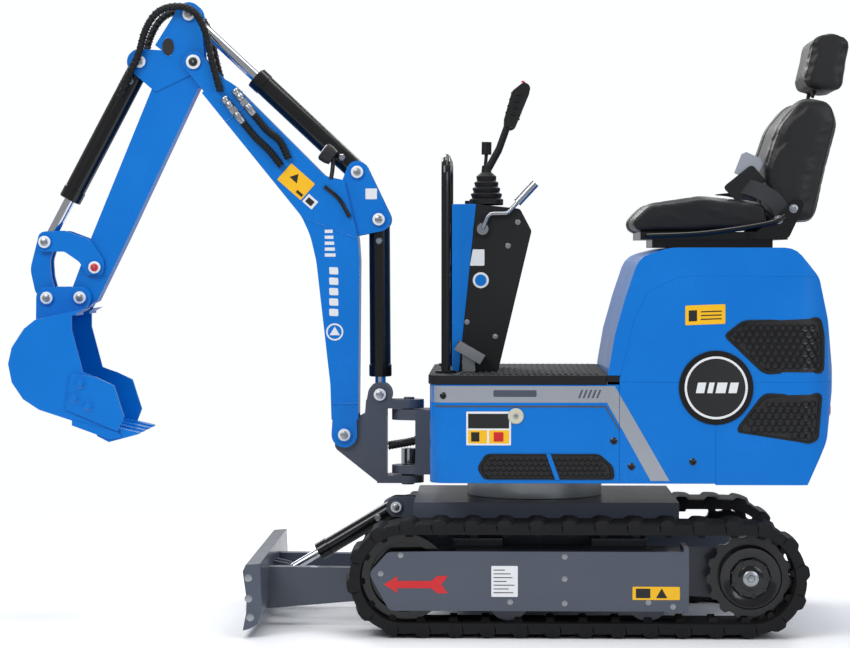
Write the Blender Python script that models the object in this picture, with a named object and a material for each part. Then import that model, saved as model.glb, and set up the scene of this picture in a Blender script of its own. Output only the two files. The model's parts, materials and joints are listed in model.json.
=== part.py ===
"""A one-tonne mini excavator on rubber tracks, with every digging joint at rest as parked.

Metres, +Z up, the front (blade and bucket) along -X, the operator's left along -Y.
"""

import math

import bmesh
import bpy
from mathutils import Vector

for old in list(bpy.data.objects):
    bpy.data.objects.remove(old, do_unlink=True)

GAP = 0.0003  # between pieces that touch

# Pins of the front end in the machine's centre plane, as (x, z)
BOOM_FOOT = (-0.231, 0.513)
BOOM_ROD_EYE = (-0.132, 0.625)
BOOM_BARREL_BASE = (-0.135, 1.114)
ARM_BARREL_BASE = (-0.195, 1.246)
ARM_PIVOT = (-0.651, 1.552)
ARM_ROD_EYE = (-0.665, 1.685)
BUCKET_BARREL_BASE = (-0.803, 1.554)
GUIDE_PIVOT = (-0.929, 0.980)
KNUCKLE = (-1.069, 1.051)
BUCKET_PIVOT = (-0.968, 0.896)
BUCKET_LINK_PIN = (-1.061, 0.895)
SWING_AXIS_X = -0.055
BLADE_PIVOT = (0.030, 0.120)
BLADE_BARREL_BASE = (-0.087, 0.310)
BLADE_ROD_EYE = (-0.400, 0.122)
HOOD_HINGE = (1.048, 0.957)

# Half widths of the layers of the front end
ARM_HALF = 0.038
BOOM_HALF = 0.0565
FORK_INNER = 0.0465
BARREL_RADIUS = 0.0295
ROD_RADIUS = 0.015
EYE_HALF = 0.018

# Undercarriage
FRONT_WHEEL_X = -0.0504
REAR_WHEEL_X = 0.8665
WHEEL_Z = 0.158
LUG_RADIUS = 0.158
BELT_OUTER = 0.147
BELT_INNER = 0.117
TRACK_INNER_Y = 0.285
TRACK_OUTER_Y = 0.465
LUG_COUNT = 32
SLEW_X = 0.300
SLEW_RADIUS = 0.188

# House
HOUSE_HALF = 0.400
HOUSE_FRONT = 0.015
HOUSE_BOTTOM = 0.4025
SEAM_Z = 0.6765
FLOOR_TOP = 0.694
SHELL = 0.006


def link_object(name, mesh):
    made = bpy.data.objects.new(name, mesh)
    bpy.context.scene.collection.objects.link(made)
    return made


def from_faces(points, faces):
    """One closed mesh with its normals turned outwards."""
    mesh = bpy.data.meshes.new("shape")
    mesh.from_pydata([tuple(p) for p in points], [], faces)
    work = bmesh.new()
    work.from_mesh(mesh)
    bmesh.ops.recalc_face_normals(work, faces=work.faces)
    work.to_mesh(mesh)
    work.free()
    return link_object("shape", mesh)


def extruded(ring_0, ring_1):
    """The solid between two matching rings of points."""
    count = len(ring_0)
    sides = [(i, (i + 1) % count, count + (i + 1) % count, count + i) for i in range(count)]
    caps = [tuple(range(count)), tuple(range(2 * count - 1, count - 1, -1))]
    return from_faces(list(ring_0) + list(ring_1), sides + caps)


def side_plate(outline, y0, y1):
    """Extrudes an (x, z) outline from y0 to y1."""
    return extruded([(x, y0, z) for x, z in outline], [(x, y1, z) for x, z in outline])


def floor_shape(outline, z0, z1):
    """Extrudes an (x, y) outline from z0 to z1."""
    return extruded([(x, y, z0) for x, y in outline], [(x, y, z1) for x, y in outline])


def box(x0, x1, y0, y1, z0, z1):
    return floor_shape([(x0, y0), (x1, y0), (x1, y1), (x0, y1)], z0, z1)


def arc(centre, radius, start, end, steps):
    """Points of an arc, its angles in degrees."""
    angles = [math.radians(start + (end - start) * i / steps) for i in range(steps + 1)]
    return [(centre[0] + radius * math.cos(a), centre[1] + radius * math.sin(a)) for a in angles]


def hull(rounds):
    """The convex outline round circles given as (x, z, radius)."""
    points = []
    for x, z, radius in rounds:
        points += arc((x, z), radius, 0, 345, 23) if radius else [(x, z)]
    points = sorted(set((round(x, 6), round(z, 6)) for x, z in points))
    halves = []
    for ordered in (points, points[::-1]):
        half = []
        for p in ordered:
            while len(half) > 1 and turn(half[-2], half[-1], p) <= 1e-9:
                half.pop()
            half.append(p)
        halves.append(half[:-1])
    return halves[0] + halves[1]


def turn(a, b, c):
    return (b[0] - a[0]) * (c[1] - a[1]) - (b[1] - a[1]) * (c[0] - a[0])


def rounded(corners, steps=3):
    """An outline whose corners, given as (x, z, radius), are filleted."""
    points = []
    count = len(corners)
    for i, (x, z, radius) in enumerate(corners):
        here = Vector((x, z))
        before = (Vector(corners[i - 1][:2]) - here).normalized()
        after = (Vector(corners[(i + 1) % count][:2]) - here).normalized()
        half = before.angle(after) / 2
        if radius == 0 or half > 1.55:
            points.append((x, z))
            continue
        reach = radius / math.tan(half)
        centre = here + (before + after).normalized() * radius / math.sin(half)
        first = here + before * reach - centre
        last = here + after * reach - centre
        sweep = first.angle_signed(last)
        start = math.atan2(first.y, first.x)
        for k in range(steps + 1):
            a = start - sweep * k / steps
            points.append((centre.x + radius * math.cos(a), centre.y + radius * math.sin(a)))
    return points


def rod_between(start, end, radius, sides=20):
    """A plain round bar between two points in space."""
    start, end = Vector(start), Vector(end)
    along = (end - start).normalized()
    across = along.orthogonal().normalized()
    other = along.cross(across)
    rings = []
    for centre in (start, end):
        ring = []
        for k in range(sides):
            a = 2 * math.pi * (k + 0.5) / sides
            ring.append(centre + radius * (math.cos(a) * across + math.sin(a) * other))
        rings.append(ring)
    return extruded(*rings)


def disc(centre, radius, y0, y1, sides=20):
    """A round plate or pin along Y about (x, z)."""
    return rod_between((centre[0], y0, centre[1]), (centre[0], y1, centre[1]), radius, sides)


def bent(path, radius, steps=6):
    """A path in space with its corners turned to arcs."""
    points = [Vector(p) for p in path]
    result = [points[0]]
    for before, here, after in zip(points, points[1:], points[2:]):
        back = (before - here).normalized()
        onward = (after - here).normalized()
        half = back.angle(onward) / 2
        if half > 1.5:
            result.append(here)
            continue
        reach = min(radius / math.tan(half), (before - here).length * 0.49, (after - here).length * 0.49)
        for k in range(steps + 1):
            t = k / steps
            curve = (1 - t) ** 2 * (here + back * reach) + 2 * t * (1 - t) * here
            result.append(curve + t ** 2 * (here + onward * reach))
    result.append(points[-1])
    return result


def tube(path, radius, sides=12):
    """A round bar or hose swept along a path, closed at both ends."""
    path = [Vector(p) for p in path]
    points = []
    across = None
    for i, centre in enumerate(path):
        along = path[min(i + 1, len(path) - 1)] - path[max(i - 1, 0)]
        along.normalize()
        across = along.orthogonal() if across is None else across - along * across.dot(along)
        across.normalize()
        other = along.cross(across)
        for k in range(sides):
            a = 2 * math.pi * k / sides
            points.append(centre + radius * (math.cos(a) * across + math.sin(a) * other))
    faces = [tuple(range(sides)), tuple(range(len(points) - 1, len(points) - sides - 1, -1))]
    for ring in range(len(path) - 1):
        for k in range(sides):
            a, b = ring * sides + k, ring * sides + (k + 1) % sides
            faces.append((a, b, b + sides, a + sides))
    return from_faces(points, faces)


def boolean(body, tool, operation):
    """Applies one Boolean and removes the tool."""
    step = body.modifiers.new("step", "BOOLEAN")
    step.object = tool
    step.operation = operation
    step.solver = "EXACT"
    graph = bpy.context.evaluated_depsgraph_get()
    made = bpy.data.meshes.new_from_object(body.evaluated_get(graph))
    body.modifiers.clear()
    body.data = made
    bpy.data.objects.remove(tool, do_unlink=True)
    return body


def joined(first, *others):
    for other in others:
        boolean(first, other, "UNION")
    return first


def cut(body, *tools):
    for tool in tools:
        boolean(body, tool, "DIFFERENCE")
    return body


def mirrored(body):
    """A copy on the other side of the centre plane."""
    mesh = body.data.copy()
    for point in mesh.vertices:
        point.co.y = -point.co.y
    mesh.flip_normals()
    return link_object("mirrored", mesh)


def both_sides(body):
    """The piece joined to its own mirror image, which must meet other shapes to be one body."""
    return body, mirrored(body)


def paint(name, colour, metallic, roughness):
    made = bpy.data.materials.new(name)
    made.use_nodes = True
    shader = made.node_tree.nodes["Principled BSDF"]
    shader.inputs["Base Color"].default_value = (*colour, 1)
    shader.inputs["Metallic"].default_value = metallic
    shader.inputs["Roughness"].default_value = roughness
    return made


COLOURS = {
    "blue": ((0.0, 0.175, 0.63), 0.0, 0.25),
    "slate": ((0.068, 0.082, 0.108), 0.0, 0.45),
    "black_paint": ((0.012, 0.012, 0.014), 0.0, 0.3),
    "chrome": ((0.75, 0.76, 0.78), 1.0, 0.12),
    "rubber": ((0.014, 0.014, 0.015), 0.0, 0.75),
    "plastic": ((0.018, 0.018, 0.02), 0.0, 0.5),
    "steel": ((0.45, 0.46, 0.47), 1.0, 0.35),
    "vinyl": ((0.012, 0.012, 0.013), 0.0, 0.55),
    "engine": ((0.1, 0.1, 0.11), 0.6, 0.5),
}


def pivot(name, place, parent=None):
    """An empty on a joint's axis."""
    empty = link_object(name, None)
    empty.empty_display_size = 0.05
    empty["at"] = place
    empty.parent = parent
    empty.location = Vector(place) - Vector(parent["at"] if parent else (0, 0, 0))
    return empty


def finish(body, name, colour, parent):
    """Names a piece, paints it and hangs it on its joint, with its origin on the axis."""
    body.name = name
    body.data.name = name
    body.data.materials.clear()
    body.data.materials.append(paint(name + "_paint", *COLOURS[colour]))
    at = Vector(parent["at"])
    for point in body.data.vertices:
        point.co -= at
    for face in body.data.polygons:
        face.use_smooth = True
        face.material_index = 0
    body.data.set_sharp_from_angle(angle=math.radians(32))
    body.parent = parent
    return body


def in_plane(pin):
    return (pin[0], 0, pin[1])


undercarriage = pivot("undercarriage_origin", (0, 0, 0))
blade_axis = pivot("blade_axis", in_plane(BLADE_PIVOT), undercarriage)
blade_barrel_axis = pivot("blade_barrel_axis", in_plane(BLADE_BARREL_BASE), undercarriage)
slew_axis = pivot("slew_axis", (SLEW_X, 0, 0.4), undercarriage)
hood_axis = pivot("hood_axis", in_plane(HOOD_HINGE), slew_axis)
swing_axis = pivot("swing_axis", (SWING_AXIS_X, 0, 0.5), slew_axis)
boom_axis = pivot("boom_axis", in_plane(BOOM_FOOT), swing_axis)
boom_barrel_axis = pivot("boom_barrel_axis", in_plane(BOOM_BARREL_BASE), boom_axis)
arm_barrel_axis = pivot("arm_barrel_axis", in_plane(ARM_BARREL_BASE), boom_axis)
arm_axis = pivot("arm_axis", in_plane(ARM_PIVOT), boom_axis)
bucket_barrel_axis = pivot("bucket_barrel_axis", in_plane(BUCKET_BARREL_BASE), arm_axis)
guide_axis = pivot("guide_axis", in_plane(GUIDE_PIVOT), arm_axis)
knuckle_axis = pivot("knuckle_axis", in_plane(KNUCKLE), guide_axis)
bucket_axis = pivot("bucket_axis", in_plane(BUCKET_PIVOT), arm_axis)


# ---- Undercarriage ----


def carbody():
    body = box(0.08, 0.60, -0.20, 0.20, 0.12, 0.31)
    joined(body, box(-0.03, 0.687, -0.28, 0.28, 0.30, 0.345))
    nose = side_plate(hull([(*BLADE_PIVOT, 0.035), (0.0, 0.31, 0), (0.12, 0.31, 0), (0.12, 0.09, 0)]), -0.155, 0.155)
    joined(body, nose)
    for x0, x1 in ((0.075, 0.21), (0.45, 0.60)):
        joined(body, box(x0, x1, -0.2997, 0.2997, 0.13, 0.25))
    ear = hull([(*BLADE_PIVOT, 0.035), (0.0, 0.31, 0), (0.12, 0.31, 0), (0.12, 0.14, 0)])
    for side in (-1, 1):
        joined(body, side_plate(ear, side * 0.205, side * 0.225))
        joined(body, disc(BLADE_PIVOT, 0.012, side * 0.15, side * 0.232))
        lug = hull([(*BLADE_BARREL_BASE, 0.028), (-0.02, 0.2825, 0), (-0.02, 0.3375, 0)])
        joined(body, side_plate(lug, side * 0.025, side * 0.037))
        joined(body, disc(BLADE_BARREL_BASE, 0.018, side * 0.036, side * 0.045))
    return joined(body, disc(BLADE_BARREL_BASE, 0.010, -0.04, 0.04))


def track_frame():
    """The frame of the left track, with its rollers on their axles."""
    outline = rounded(
        [(-0.094, 0.228, 0.02), (-0.145, 0.171, 0.02), (-0.090, 0.072, 0.02), (0.700, 0.072, 0), (0.700, 0.230, 0), (0.04, 0.230, 0)]
    )
    body = side_plate(outline, -0.450, -0.438)
    joined(body, box(0.085, 0.69, -0.445, -0.305, 0.214, 0.229))
    joined(body, side_plate(outline, -0.312, -0.300))
    joined(body, box(0.688, 0.702, -0.450, -0.300, 0.066, 0.240))
    motor = hull([(REAR_WHEEL_X, WHEEL_Z, 0.070), (0.66, 0.10, 0), (0.66, 0.228, 0)])
    joined(body, side_plate(motor, -0.3149, -0.300))
    joined(body, rod_between((FRONT_WHEEL_X, -0.440, WHEEL_Z), (FRONT_WHEEL_X, -0.310, WHEEL_Z), 0.015))
    for x in (0.2263, 0.5952):
        joined(body, disc((x, 0.0963), 0.015, -0.440, -0.310))
        joined(body, disc((x, 0.0963), 0.055, -0.411, -0.339, 26))
    return body


def idler():
    centre = (FRONT_WHEEL_X, WHEEL_Z)
    body = disc(centre, BELT_INNER - 0.0012, -0.415, -0.335, 40)
    for y0, y1 in ((-0.42, -0.392), (-0.358, -0.33)):
        groove = cut(disc(centre, 0.092, y0, y1, 40), disc(centre, 0.035, y0 - 0.01, y1 + 0.01, 28))
        cut(body, groove)
    return cut(body, disc(centre, 0.0153, -0.43, -0.32))


def sprocket():
    """The toothed drive wheel of the left track on its motor's hub."""
    teeth = 15
    outline = []
    for k in range(teeth):
        for part, radius in ((0.0, 0.106), (0.3, 0.106), (0.5, 0.1158), (0.8, 0.1158)):
            a = 2 * math.pi * (k + part) / teeth
            outline.append((REAR_WHEEL_X + radius * math.cos(a), WHEEL_Z + radius * math.sin(a)))
    centre = (REAR_WHEEL_X, WHEEL_Z)
    body = side_plate(outline, -0.392, -0.366)
    joined(body, disc(centre, 0.060, -0.380, -0.3152, 28))
    joined(body, disc(centre, 0.084, -0.410, -0.385, 28))
    return joined(body, disc(centre, 0.050, -0.428, -0.400, 28))


def loop_point(along, radius):
    """A point of the track's path, `along` being the distance round the belt's outer face."""
    straight = REAR_WHEEL_X - FRONT_WHEEL_X
    half = math.pi * BELT_OUTER
    along %= 2 * (straight + half)
    if along < straight:
        return (FRONT_WHEEL_X + along, WHEEL_Z - radius)
    if along < straight + half:
        a = (along - straight) / BELT_OUTER - math.pi / 2
        return (REAR_WHEEL_X + radius * math.cos(a), WHEEL_Z + radius * math.sin(a))
    if along < 2 * straight + half:
        return (REAR_WHEEL_X - (along - straight - half), WHEEL_Z + radius)
    a = (along - 2 * straight - half) / BELT_OUTER + math.pi / 2
    return (FRONT_WHEEL_X + radius * math.cos(a), WHEEL_Z + radius * math.sin(a))


def track():
    length = 2 * (REAR_WHEEL_X - FRONT_WHEEL_X + math.pi * BELT_OUTER)
    pitch = length / LUG_COUNT
    outer = []
    for k in range(LUG_COUNT):
        for part, radius in ((-0.26, BELT_OUTER), (-0.155, LUG_RADIUS), (0.155, LUG_RADIUS), (0.26, BELT_OUTER)):
            outer.append(loop_point((k + 0.5 + part) * pitch, radius))
        outer.append(loop_point((k + 1) * pitch, BELT_OUTER))
    inner = arc((REAR_WHEEL_X, WHEEL_Z), BELT_INNER, -90, 90, 16)
    inner += arc((FRONT_WHEEL_X, WHEEL_Z), BELT_INNER, 90, 270, 16)
    return cut(side_plate(outer, -TRACK_OUTER_Y, -TRACK_INNER_Y), side_plate(inner, -0.5, -0.25))


def blade():
    profile = [
        (-0.478, 0.020), (-0.461, 0.024), (-0.439, 0.037), (-0.427, 0.079), (-0.432, 0.198),
        (-0.470, 0.195), (-0.478, 0.177), (-0.468, 0.105), (-0.469, 0.066),
    ]
    body = side_plate(profile, -TRACK_OUTER_Y, TRACK_OUTER_Y)
    arm = hull([(*BLADE_PIVOT, 0.035), (-0.435, 0.045, 0), (-0.435, 0.160, 0)])
    ear = hull([(*BLADE_ROD_EYE, 0.030), (-0.4345, 0.085, 0), (-0.4345, 0.160, 0)])
    for side in (-1, 1):
        joined(body, side_plate(arm, side * 0.160, side * 0.200))
        joined(body, side_plate(ear, side * 0.025, side * 0.037))
        joined(body, disc(BLADE_ROD_EYE, 0.018, side * 0.036, side * 0.045))
    return cut(body, disc(BLADE_PIVOT, 0.0123, -0.25, 0.25))


def toward(start, end, distance):
    """The (x, z) point at a distance from start along the line to end."""
    length = math.dist(start, end)
    return tuple(s + (e - s) * distance / length for s, e in zip(start, end))


def barrel(base, eye, length, radius, rod, half, pin):
    """A cylinder's tube with its eye at the base and a bore for the rod."""
    body = disc(base, radius * 0.95, -half, half)
    joined(body, rod_between(in_plane(toward(base, eye, radius * 0.5)), in_plane(toward(base, eye, length)), radius, 26))
    cut(body, rod_between(in_plane(toward(base, eye, radius * 1.9)), in_plane(toward(base, eye, length + 0.01)), rod + GAP, 26))
    return cut(body, disc(base, pin + GAP, -half - 0.1, half + 0.1))


def rod(base, eye, inside, radius, eye_radius, half):
    """A cylinder's rod from inside the tube to its eye."""
    body = disc(eye, eye_radius, -half, half)
    joined(body, rod_between(in_plane(toward(base, eye, inside)), in_plane(eye), radius, 26))
    return cut(body, disc(eye, 0.0105, -half - 0.1, half + 0.1))


finish(carbody(), "carbody", "slate", undercarriage)
for side_name, flip in (("left", False), ("right", True)):
    for name, make, colour in (
        ("track_frame", track_frame, "slate"),
        ("idler", idler, "black_paint"),
        ("sprocket", sprocket, "slate"),
        ("track", track, "rubber"),
    ):
        made = make()
        if flip:
            other = mirrored(made)
            bpy.data.objects.remove(made, do_unlink=True)
            made = other
        finish(made, name + "_" + side_name, colour, undercarriage)
slew_ring = rod_between((SLEW_X, 0, 0.345 + GAP), (SLEW_X, 0, HOUSE_BOTTOM - GAP), SLEW_RADIUS, 44)
finish(slew_ring, "slew_ring", "steel", undercarriage)
finish(blade(), "blade", "slate", blade_axis)
finish(barrel(BLADE_BARREL_BASE, BLADE_ROD_EYE, 0.255, 0.024, 0.0125, 0.0245, 0.010), "blade_cylinder", "black_paint", blade_barrel_axis)
finish(rod(BLADE_BARREL_BASE, BLADE_ROD_EYE, 0.16, 0.0125, 0.024, 0.0245), "blade_cylinder_rod", "chrome", blade_barrel_axis)

# ---- House ----


def plan(x0, x1, half, front_radius, rear_radius):
    """A floor outline with its front and rear corners rounded."""
    return rounded(
        [(x0, -half, front_radius), (x1, -half, rear_radius), (x1, half, rear_radius), (x0, half, front_radius)], 5
    )


def slew_platform():
    body = floor_shape(plan(0.03, 0.9597, 0.3497, 0.04, 0.0), HOUSE_BOTTOM, 0.415)
    joined(body, box(-0.033, 0.34, -0.060, 0.060, HOUSE_BOTTOM, 0.583))
    for z0, z1 in ((HOUSE_BOTTOM + 0.0005, 0.426), (0.553, 0.583)):
        lug = hull([(SWING_AXIS_X, 0, 0.045), (-0.02, 0.0595, 0), (-0.02, -0.0595, 0)])
        joined(body, floor_shape(lug, z0, z1))
    cut(body, rod_between((SWING_AXIS_X, 0, 0.3), (SWING_AXIS_X, 0, 0.7), 0.0183, 26))
    cut(body, box(0.0, 0.065, 0.0602, 0.130, 0.3, 0.5))
    return cut(body, rod_between((SWING_AXIS_X, 0, 0.43), (SWING_AXIS_X, 0, 0.55), 0.050, 26))


def front_skirt():
    outer = floor_shape(plan(HOUSE_FRONT, 1.2, HOUSE_HALF, 0.05, 0), HOUSE_BOTTOM + 0.004, 0.6697)
    inner = plan(HOUSE_FRONT + SHELL, 1.3, HOUSE_HALF - SHELL, 0.044, 0)
    cut(outer, floor_shape(inner, 0.3, 0.8), box(0.520, 1.4, -0.5, 0.5, 0.3, 0.8))
    return cut(outer, box(-0.1, 0.10, -0.0605, 0.0605, 0.3, 0.5835), box(-0.1, 0.10, 0.0, 0.122, 0.3, 0.477))


def body_outline(inset):
    """The side view of the covers behind the floor, its walls drawn in by `inset`."""
    corners = [
        (0.488, 0.40, 0), (0.490, 0.70, 0.1), (0.507, 0.800, 0.1), (0.535, 0.900, 0.1), (0.572, 1.010, 0.06),
        (0.660, 1.034, 0.1), (0.985, 1.034, 0.06), (1.050, 0.955, 0.05), (1.077, 0.840, 0.3),
        (1.094, 0.680, 0.2), (1.074, 0.518, 0.1), (1.018, 0.40, 0),
    ]
    points = rounded(corners, 3)
    if not inset:
        return points
    moved = []
    for i, here in enumerate(points):
        before, after = Vector(points[i - 1]), Vector(points[(i + 1) % len(points)])
        along = (after - before).normalized()
        moved.append((here[0] - inset * along.y * TURNING, here[1] + inset * along.x * TURNING))
    return moved


TURNING = -1  # the outline above runs clockwise


def covers(wall):
    """The hollow shell that the hood, the side covers and the counterweight are parts of."""
    outer = side_plate(body_outline(0), -HOUSE_HALF, HOUSE_HALF)
    boolean(outer, floor_shape(plan(0.3, 1.095, HOUSE_HALF, 0.0, 0.10), 0.2, 1.2), "INTERSECT")
    inner = side_plate(body_outline(wall), -HOUSE_HALF + wall, HOUSE_HALF - wall)
    boolean(inner, floor_shape(plan(0.3, 1.095 - wall, HOUSE_HALF - wall, 0.0, 0.10 - wall), 0.2, 1.2), "INTERSECT")
    return cut(outer, inner, box(0.2, 0.96, -HOUSE_HALF + wall, HOUSE_HALF - wall, 0.2, 0.52))


def seam_region(grow):
    """What lies under the hood's arched edge, as an (x, z) outline."""
    shape = rounded(
        [(0.520 + grow, 0.3, 0), (0.520 + grow, 0.686, 0), (0.560 + grow, 0.844, 0.1), (0.595 + grow, 0.918 - grow, 0.05),
         (0.683, 0.959 - grow, 0.08), (1.2, 0.957 - grow, 0), (1.2, 0.3, 0)]
    )
    return shape


def hood():
    shell = covers(SHELL)
    return cut(shell, side_plate(seam_region(0.0), -0.5, 0.5), box(0.3, 1.2, -0.5, 0.5, 0.2, FLOOR_TOP + GAP))


def side_panel():
    shell = covers(SHELL)
    boolean(shell, side_plate(seam_region(GAP), -0.45, -0.28), "INTERSECT")
    return cut(shell, box(0.3, 1.2, -0.5, 0.5, 0.2, SEAM_Z + GAP))


def rear_panel():
    shell = covers(SHELL)
    boolean(shell, side_plate(seam_region(GAP), -0.28 + GAP, 0.28 - GAP), "INTERSECT")
    return cut(shell, box(0.3, 1.2, -0.5, 0.5, 0.2, SEAM_Z + GAP), box(0.3, 0.9, -0.5, 0.5, 0.2, 1.2))


def lower_panel():
    shell = covers(SHELL)
    return boolean(shell, box(0.520 + GAP, 0.776 - GAP, -0.45, -0.30, HOUSE_BOTTOM + 0.004, SEAM_Z), "INTERSECT")


def counterweight():
    shell = covers(0.05)
    boolean(shell, box(0.776, 1.2, -0.45, 0.45, HOUSE_BOTTOM + 0.0005, SEAM_Z), "INTERSECT")
    return shell


def console():
    outline = [(0.0905, FLOOR_TOP + GAP), (0.198, FLOOR_TOP + GAP), (0.290, 1.081), (0.258, 1.142), (0.1373, 1.155)]
    return side_plate(rounded([(*p, 0.012 if i in (2, 3) else 0) for i, p in enumerate(outline)]), -0.130, 0.130)


def console_front():
    outline = [(0.071, FLOOR_TOP + GAP), (0.0902, FLOOR_TOP + GAP), (0.137, 1.155), (0.071, 1.155)]
    return side_plate(outline, -0.130, 0.130)


def guard_rail():
    x, half, top = 0.056, 0.25, 1.278
    path = bent([(x, -half, FLOOR_TOP + GAP), (x, -half, top), (x, half, top), (x, half, FLOOR_TOP + GAP)], 0.06)
    body = tube(path, 0.0125, 20)
    for side in (-1, 1):
        foot = (x, side * half)
        joined(body, rod_between((*foot, FLOOR_TOP + GAP), (*foot, FLOOR_TOP + 0.007), 0.030, 20))
    return body


def turned(x, y, profile, sides=20):
    """A round piece about an upright axis, its profile given as (radius, z)."""
    points = []
    for radius, z in profile:
        for k in range(sides):
            a = 2 * math.pi * k / sides
            points.append((x + radius * math.cos(a), y + radius * math.sin(a), z))
    faces = [tuple(range(sides)), tuple(range(len(points) - 1, len(points) - sides - 1, -1))]
    for ring in range(len(profile) - 1):
        for k in range(sides):
            a, b = ring * sides + k, ring * sides + (k + 1) % sides
            faces.append((a, b, b + sides, a + sides))
    return from_faces(points, faces)


def joystick():
    """The left joystick, in its boot."""
    y = -0.085
    boot = [
        (0.047, 1.1555), (0.047, 1.168), (0.039, 1.172), (0.044, 1.183), (0.035, 1.188), (0.039, 1.199),
        (0.031, 1.204), (0.034, 1.215), (0.026, 1.220), (0.028, 1.232), (0.014, 1.244), (0.012, 1.262),
    ]
    body = turned(0.165, y, boot)
    stem = [(0.167, y, 1.25), (0.200, y, 1.31), (0.236, y, 1.41)]
    joined(body, tube(bent(stem, 0.05), 0.009, 16))
    grip = hull([(0.231, 1.385, 0.018), (0.254, 1.455, 0.021), (0.270, 1.474, 0.016)])
    return joined(body, side_plate(grip, y - 0.018, y + 0.018))


def travel_levers():
    body = box(0.105, 0.205, -0.034, 0.034, 1.1553, 1.166)
    for y in (-0.017, 0.017):
        joined(body, tube([(0.155, y, 1.16), (0.16, y, 1.24), (0.165, y, 1.30)], 0.005, 12))
        joined(body, rod_between((0.165, y, 1.296), (0.1655, y, 1.33), 0.014, 24))
    return body


def blade_lever():
    y = -0.143
    body = disc((0.155, 1.086), 0.016, y, -0.1303, 24)
    path = bent([(0.155, y, 1.086), (0.172, y, 1.128), (0.222, y, 1.128), (0.250, y, 1.158), (0.272, y, 1.182)], 0.02)
    joined(body, tube(path, 0.006, 12))
    return joined(body, rod_between((0.250, y, 1.158), (0.300, y, 1.212), 0.012, 20))


def pedal():
    """The left pedal, hinged on a foot on the floor."""
    body = side_plate([(0.078, 0.756), (0.094, 0.780), (0.163, 0.740), (0.148, 0.715)], -0.215, -0.145)
    return joined(body, box(0.100, 0.135, -0.190, -0.170, FLOOR_TOP + GAP, 0.745))


def seat_cushion():
    outline = rounded(
        [(0.557, 1.078, 0.02), (0.557, 1.108, 0.02), (0.600, 1.148, 0.04), (0.750, 1.170, 0.1), (0.934, 1.152, 0.02), (0.934, 1.090, 0.02)]
    )
    return side_plate(outline, -0.215, 0.215)


def seat_back():
    outline = rounded(
        [(0.945, 1.150, 0.02), (0.922, 1.257, 0.1), (0.960, 1.370, 0.1), (1.025, 1.450, 0.04), (1.105, 1.436, 0.03),
         (1.118, 1.380, 0.05), (1.052, 1.100, 0.02), (1.000, 1.098, 0.02)]
    )
    return side_plate(outline, -0.215, 0.215)


def headrest():
    outline = rounded(
        [(1.031, 1.473, 0.02), (1.062, 1.618, 0.03), (1.117, 1.630, 0.03), (1.164, 1.611, 0.02), (1.140, 1.459, 0.02)]
    )
    body = side_plate(outline, -0.125, 0.125)
    for side in (-1, 1):
        post = rod_between((1.068, side * 0.06, 1.4435), (1.075, side * 0.06, 1.50), 0.007, 16)
        joined(body, post)
    return body


def seat_frame():
    """The pan under the cushion, its base on the hood, and the bars that carry the back."""
    body = box(0.585, 0.985, -0.205, 0.205, 1.056, 1.0777)
    joined(body, box(0.62, 0.95, -0.15, 0.15, 1.0343, 1.06))
    bar = hull([(0.900, 1.066, 0.010), (0.975, 1.075, 0.016), (1.010, 1.150, 0.016)])
    for side in (-1, 1):
        joined(body, side_plate(bar, side * 0.2153, side * 0.228))
        joined(body, box(0.88, 0.96, min(side * 0.19, side * 0.222), max(side * 0.19, side * 0.222), 1.058, 1.074))
    return body


def engine():
    return box(0.66, 0.95, -0.20, 0.20, 0.415 + GAP, 0.85)


def swing_cylinder():
    y, z = 0.090, 0.443
    body = rod_between((0.055, y, z), (0.320, y, z), 0.0225, 26)
    joined(body, box(0.29, 0.34, y - 0.02, y + 0.02, 0.415 + GAP, z + 0.02))
    return cut(body, rod_between((0.03, y, z), (0.28, y, z), 0.0125 + GAP, 26))


def swing_rod():
    y, z = 0.090, 0.443
    body = rod_between((SWING_AXIS_X, y, z), (0.170, y, z), 0.0125, 26)
    joined(body, rod_between((SWING_AXIS_X, y, 0.404), (SWING_AXIS_X, y, 0.466), 0.022, 20))
    return cut(body, rod_between((SWING_AXIS_X, y, 0.3), (SWING_AXIS_X, y, 0.6), 0.011, 20))


def floor_plate():
    return floor_shape(plan(HOUSE_FRONT - 0.004, 0.486, HOUSE_HALF + 0.003, 0.05, 0.0), 0.670, FLOOR_TOP)


finish(slew_platform(), "slew_platform", "slate", slew_axis)
finish(front_skirt(), "front_skirt", "blue", slew_axis)
finish(floor_plate(), "floor_plate", "rubber", slew_axis)
finish(counterweight(), "counterweight", "blue", slew_axis)
finish(rear_panel(), "rear_panel", "blue", slew_axis)
for name, make in (("side_panel", side_panel), ("lower_panel", lower_panel)):
    left = make()
    finish(mirrored(left), name + "_right", "blue", slew_axis)
    finish(left, name + "_left", "blue", slew_axis)
for name, make, colour in (("joystick", joystick, "rubber"), ("pedal", pedal, "steel")):
    left = make()
    finish(mirrored(left), name + "_right", colour, slew_axis)
    finish(left, name + "_left", colour, slew_axis)
finish(console(), "console", "plastic", slew_axis)
finish(console_front(), "console_front", "blue", slew_axis)
finish(guard_rail(), "guard_rail", "black_paint", slew_axis)
finish(travel_levers(), "travel_levers", "plastic", slew_axis)
finish(blade_lever(), "blade_lever", "steel", slew_axis)
finish(engine(), "engine", "engine", slew_axis)
finish(swing_cylinder(), "swing_cylinder", "black_paint", slew_axis)
finish(swing_rod(), "swing_cylinder_rod", "chrome", slew_axis)
finish(hood(), "hood", "blue", hood_axis)
finish(seat_cushion(), "seat_cushion", "vinyl", hood_axis)
finish(seat_back(), "seat_back", "vinyl", hood_axis)
finish(headrest(), "headrest", "vinyl", hood_axis)
finish(seat_frame(), "seat_frame", "black_paint", hood_axis)

# ---- Boom, arm and bucket ----

PIN = 0.0125
BORE = PIN + GAP


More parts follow.
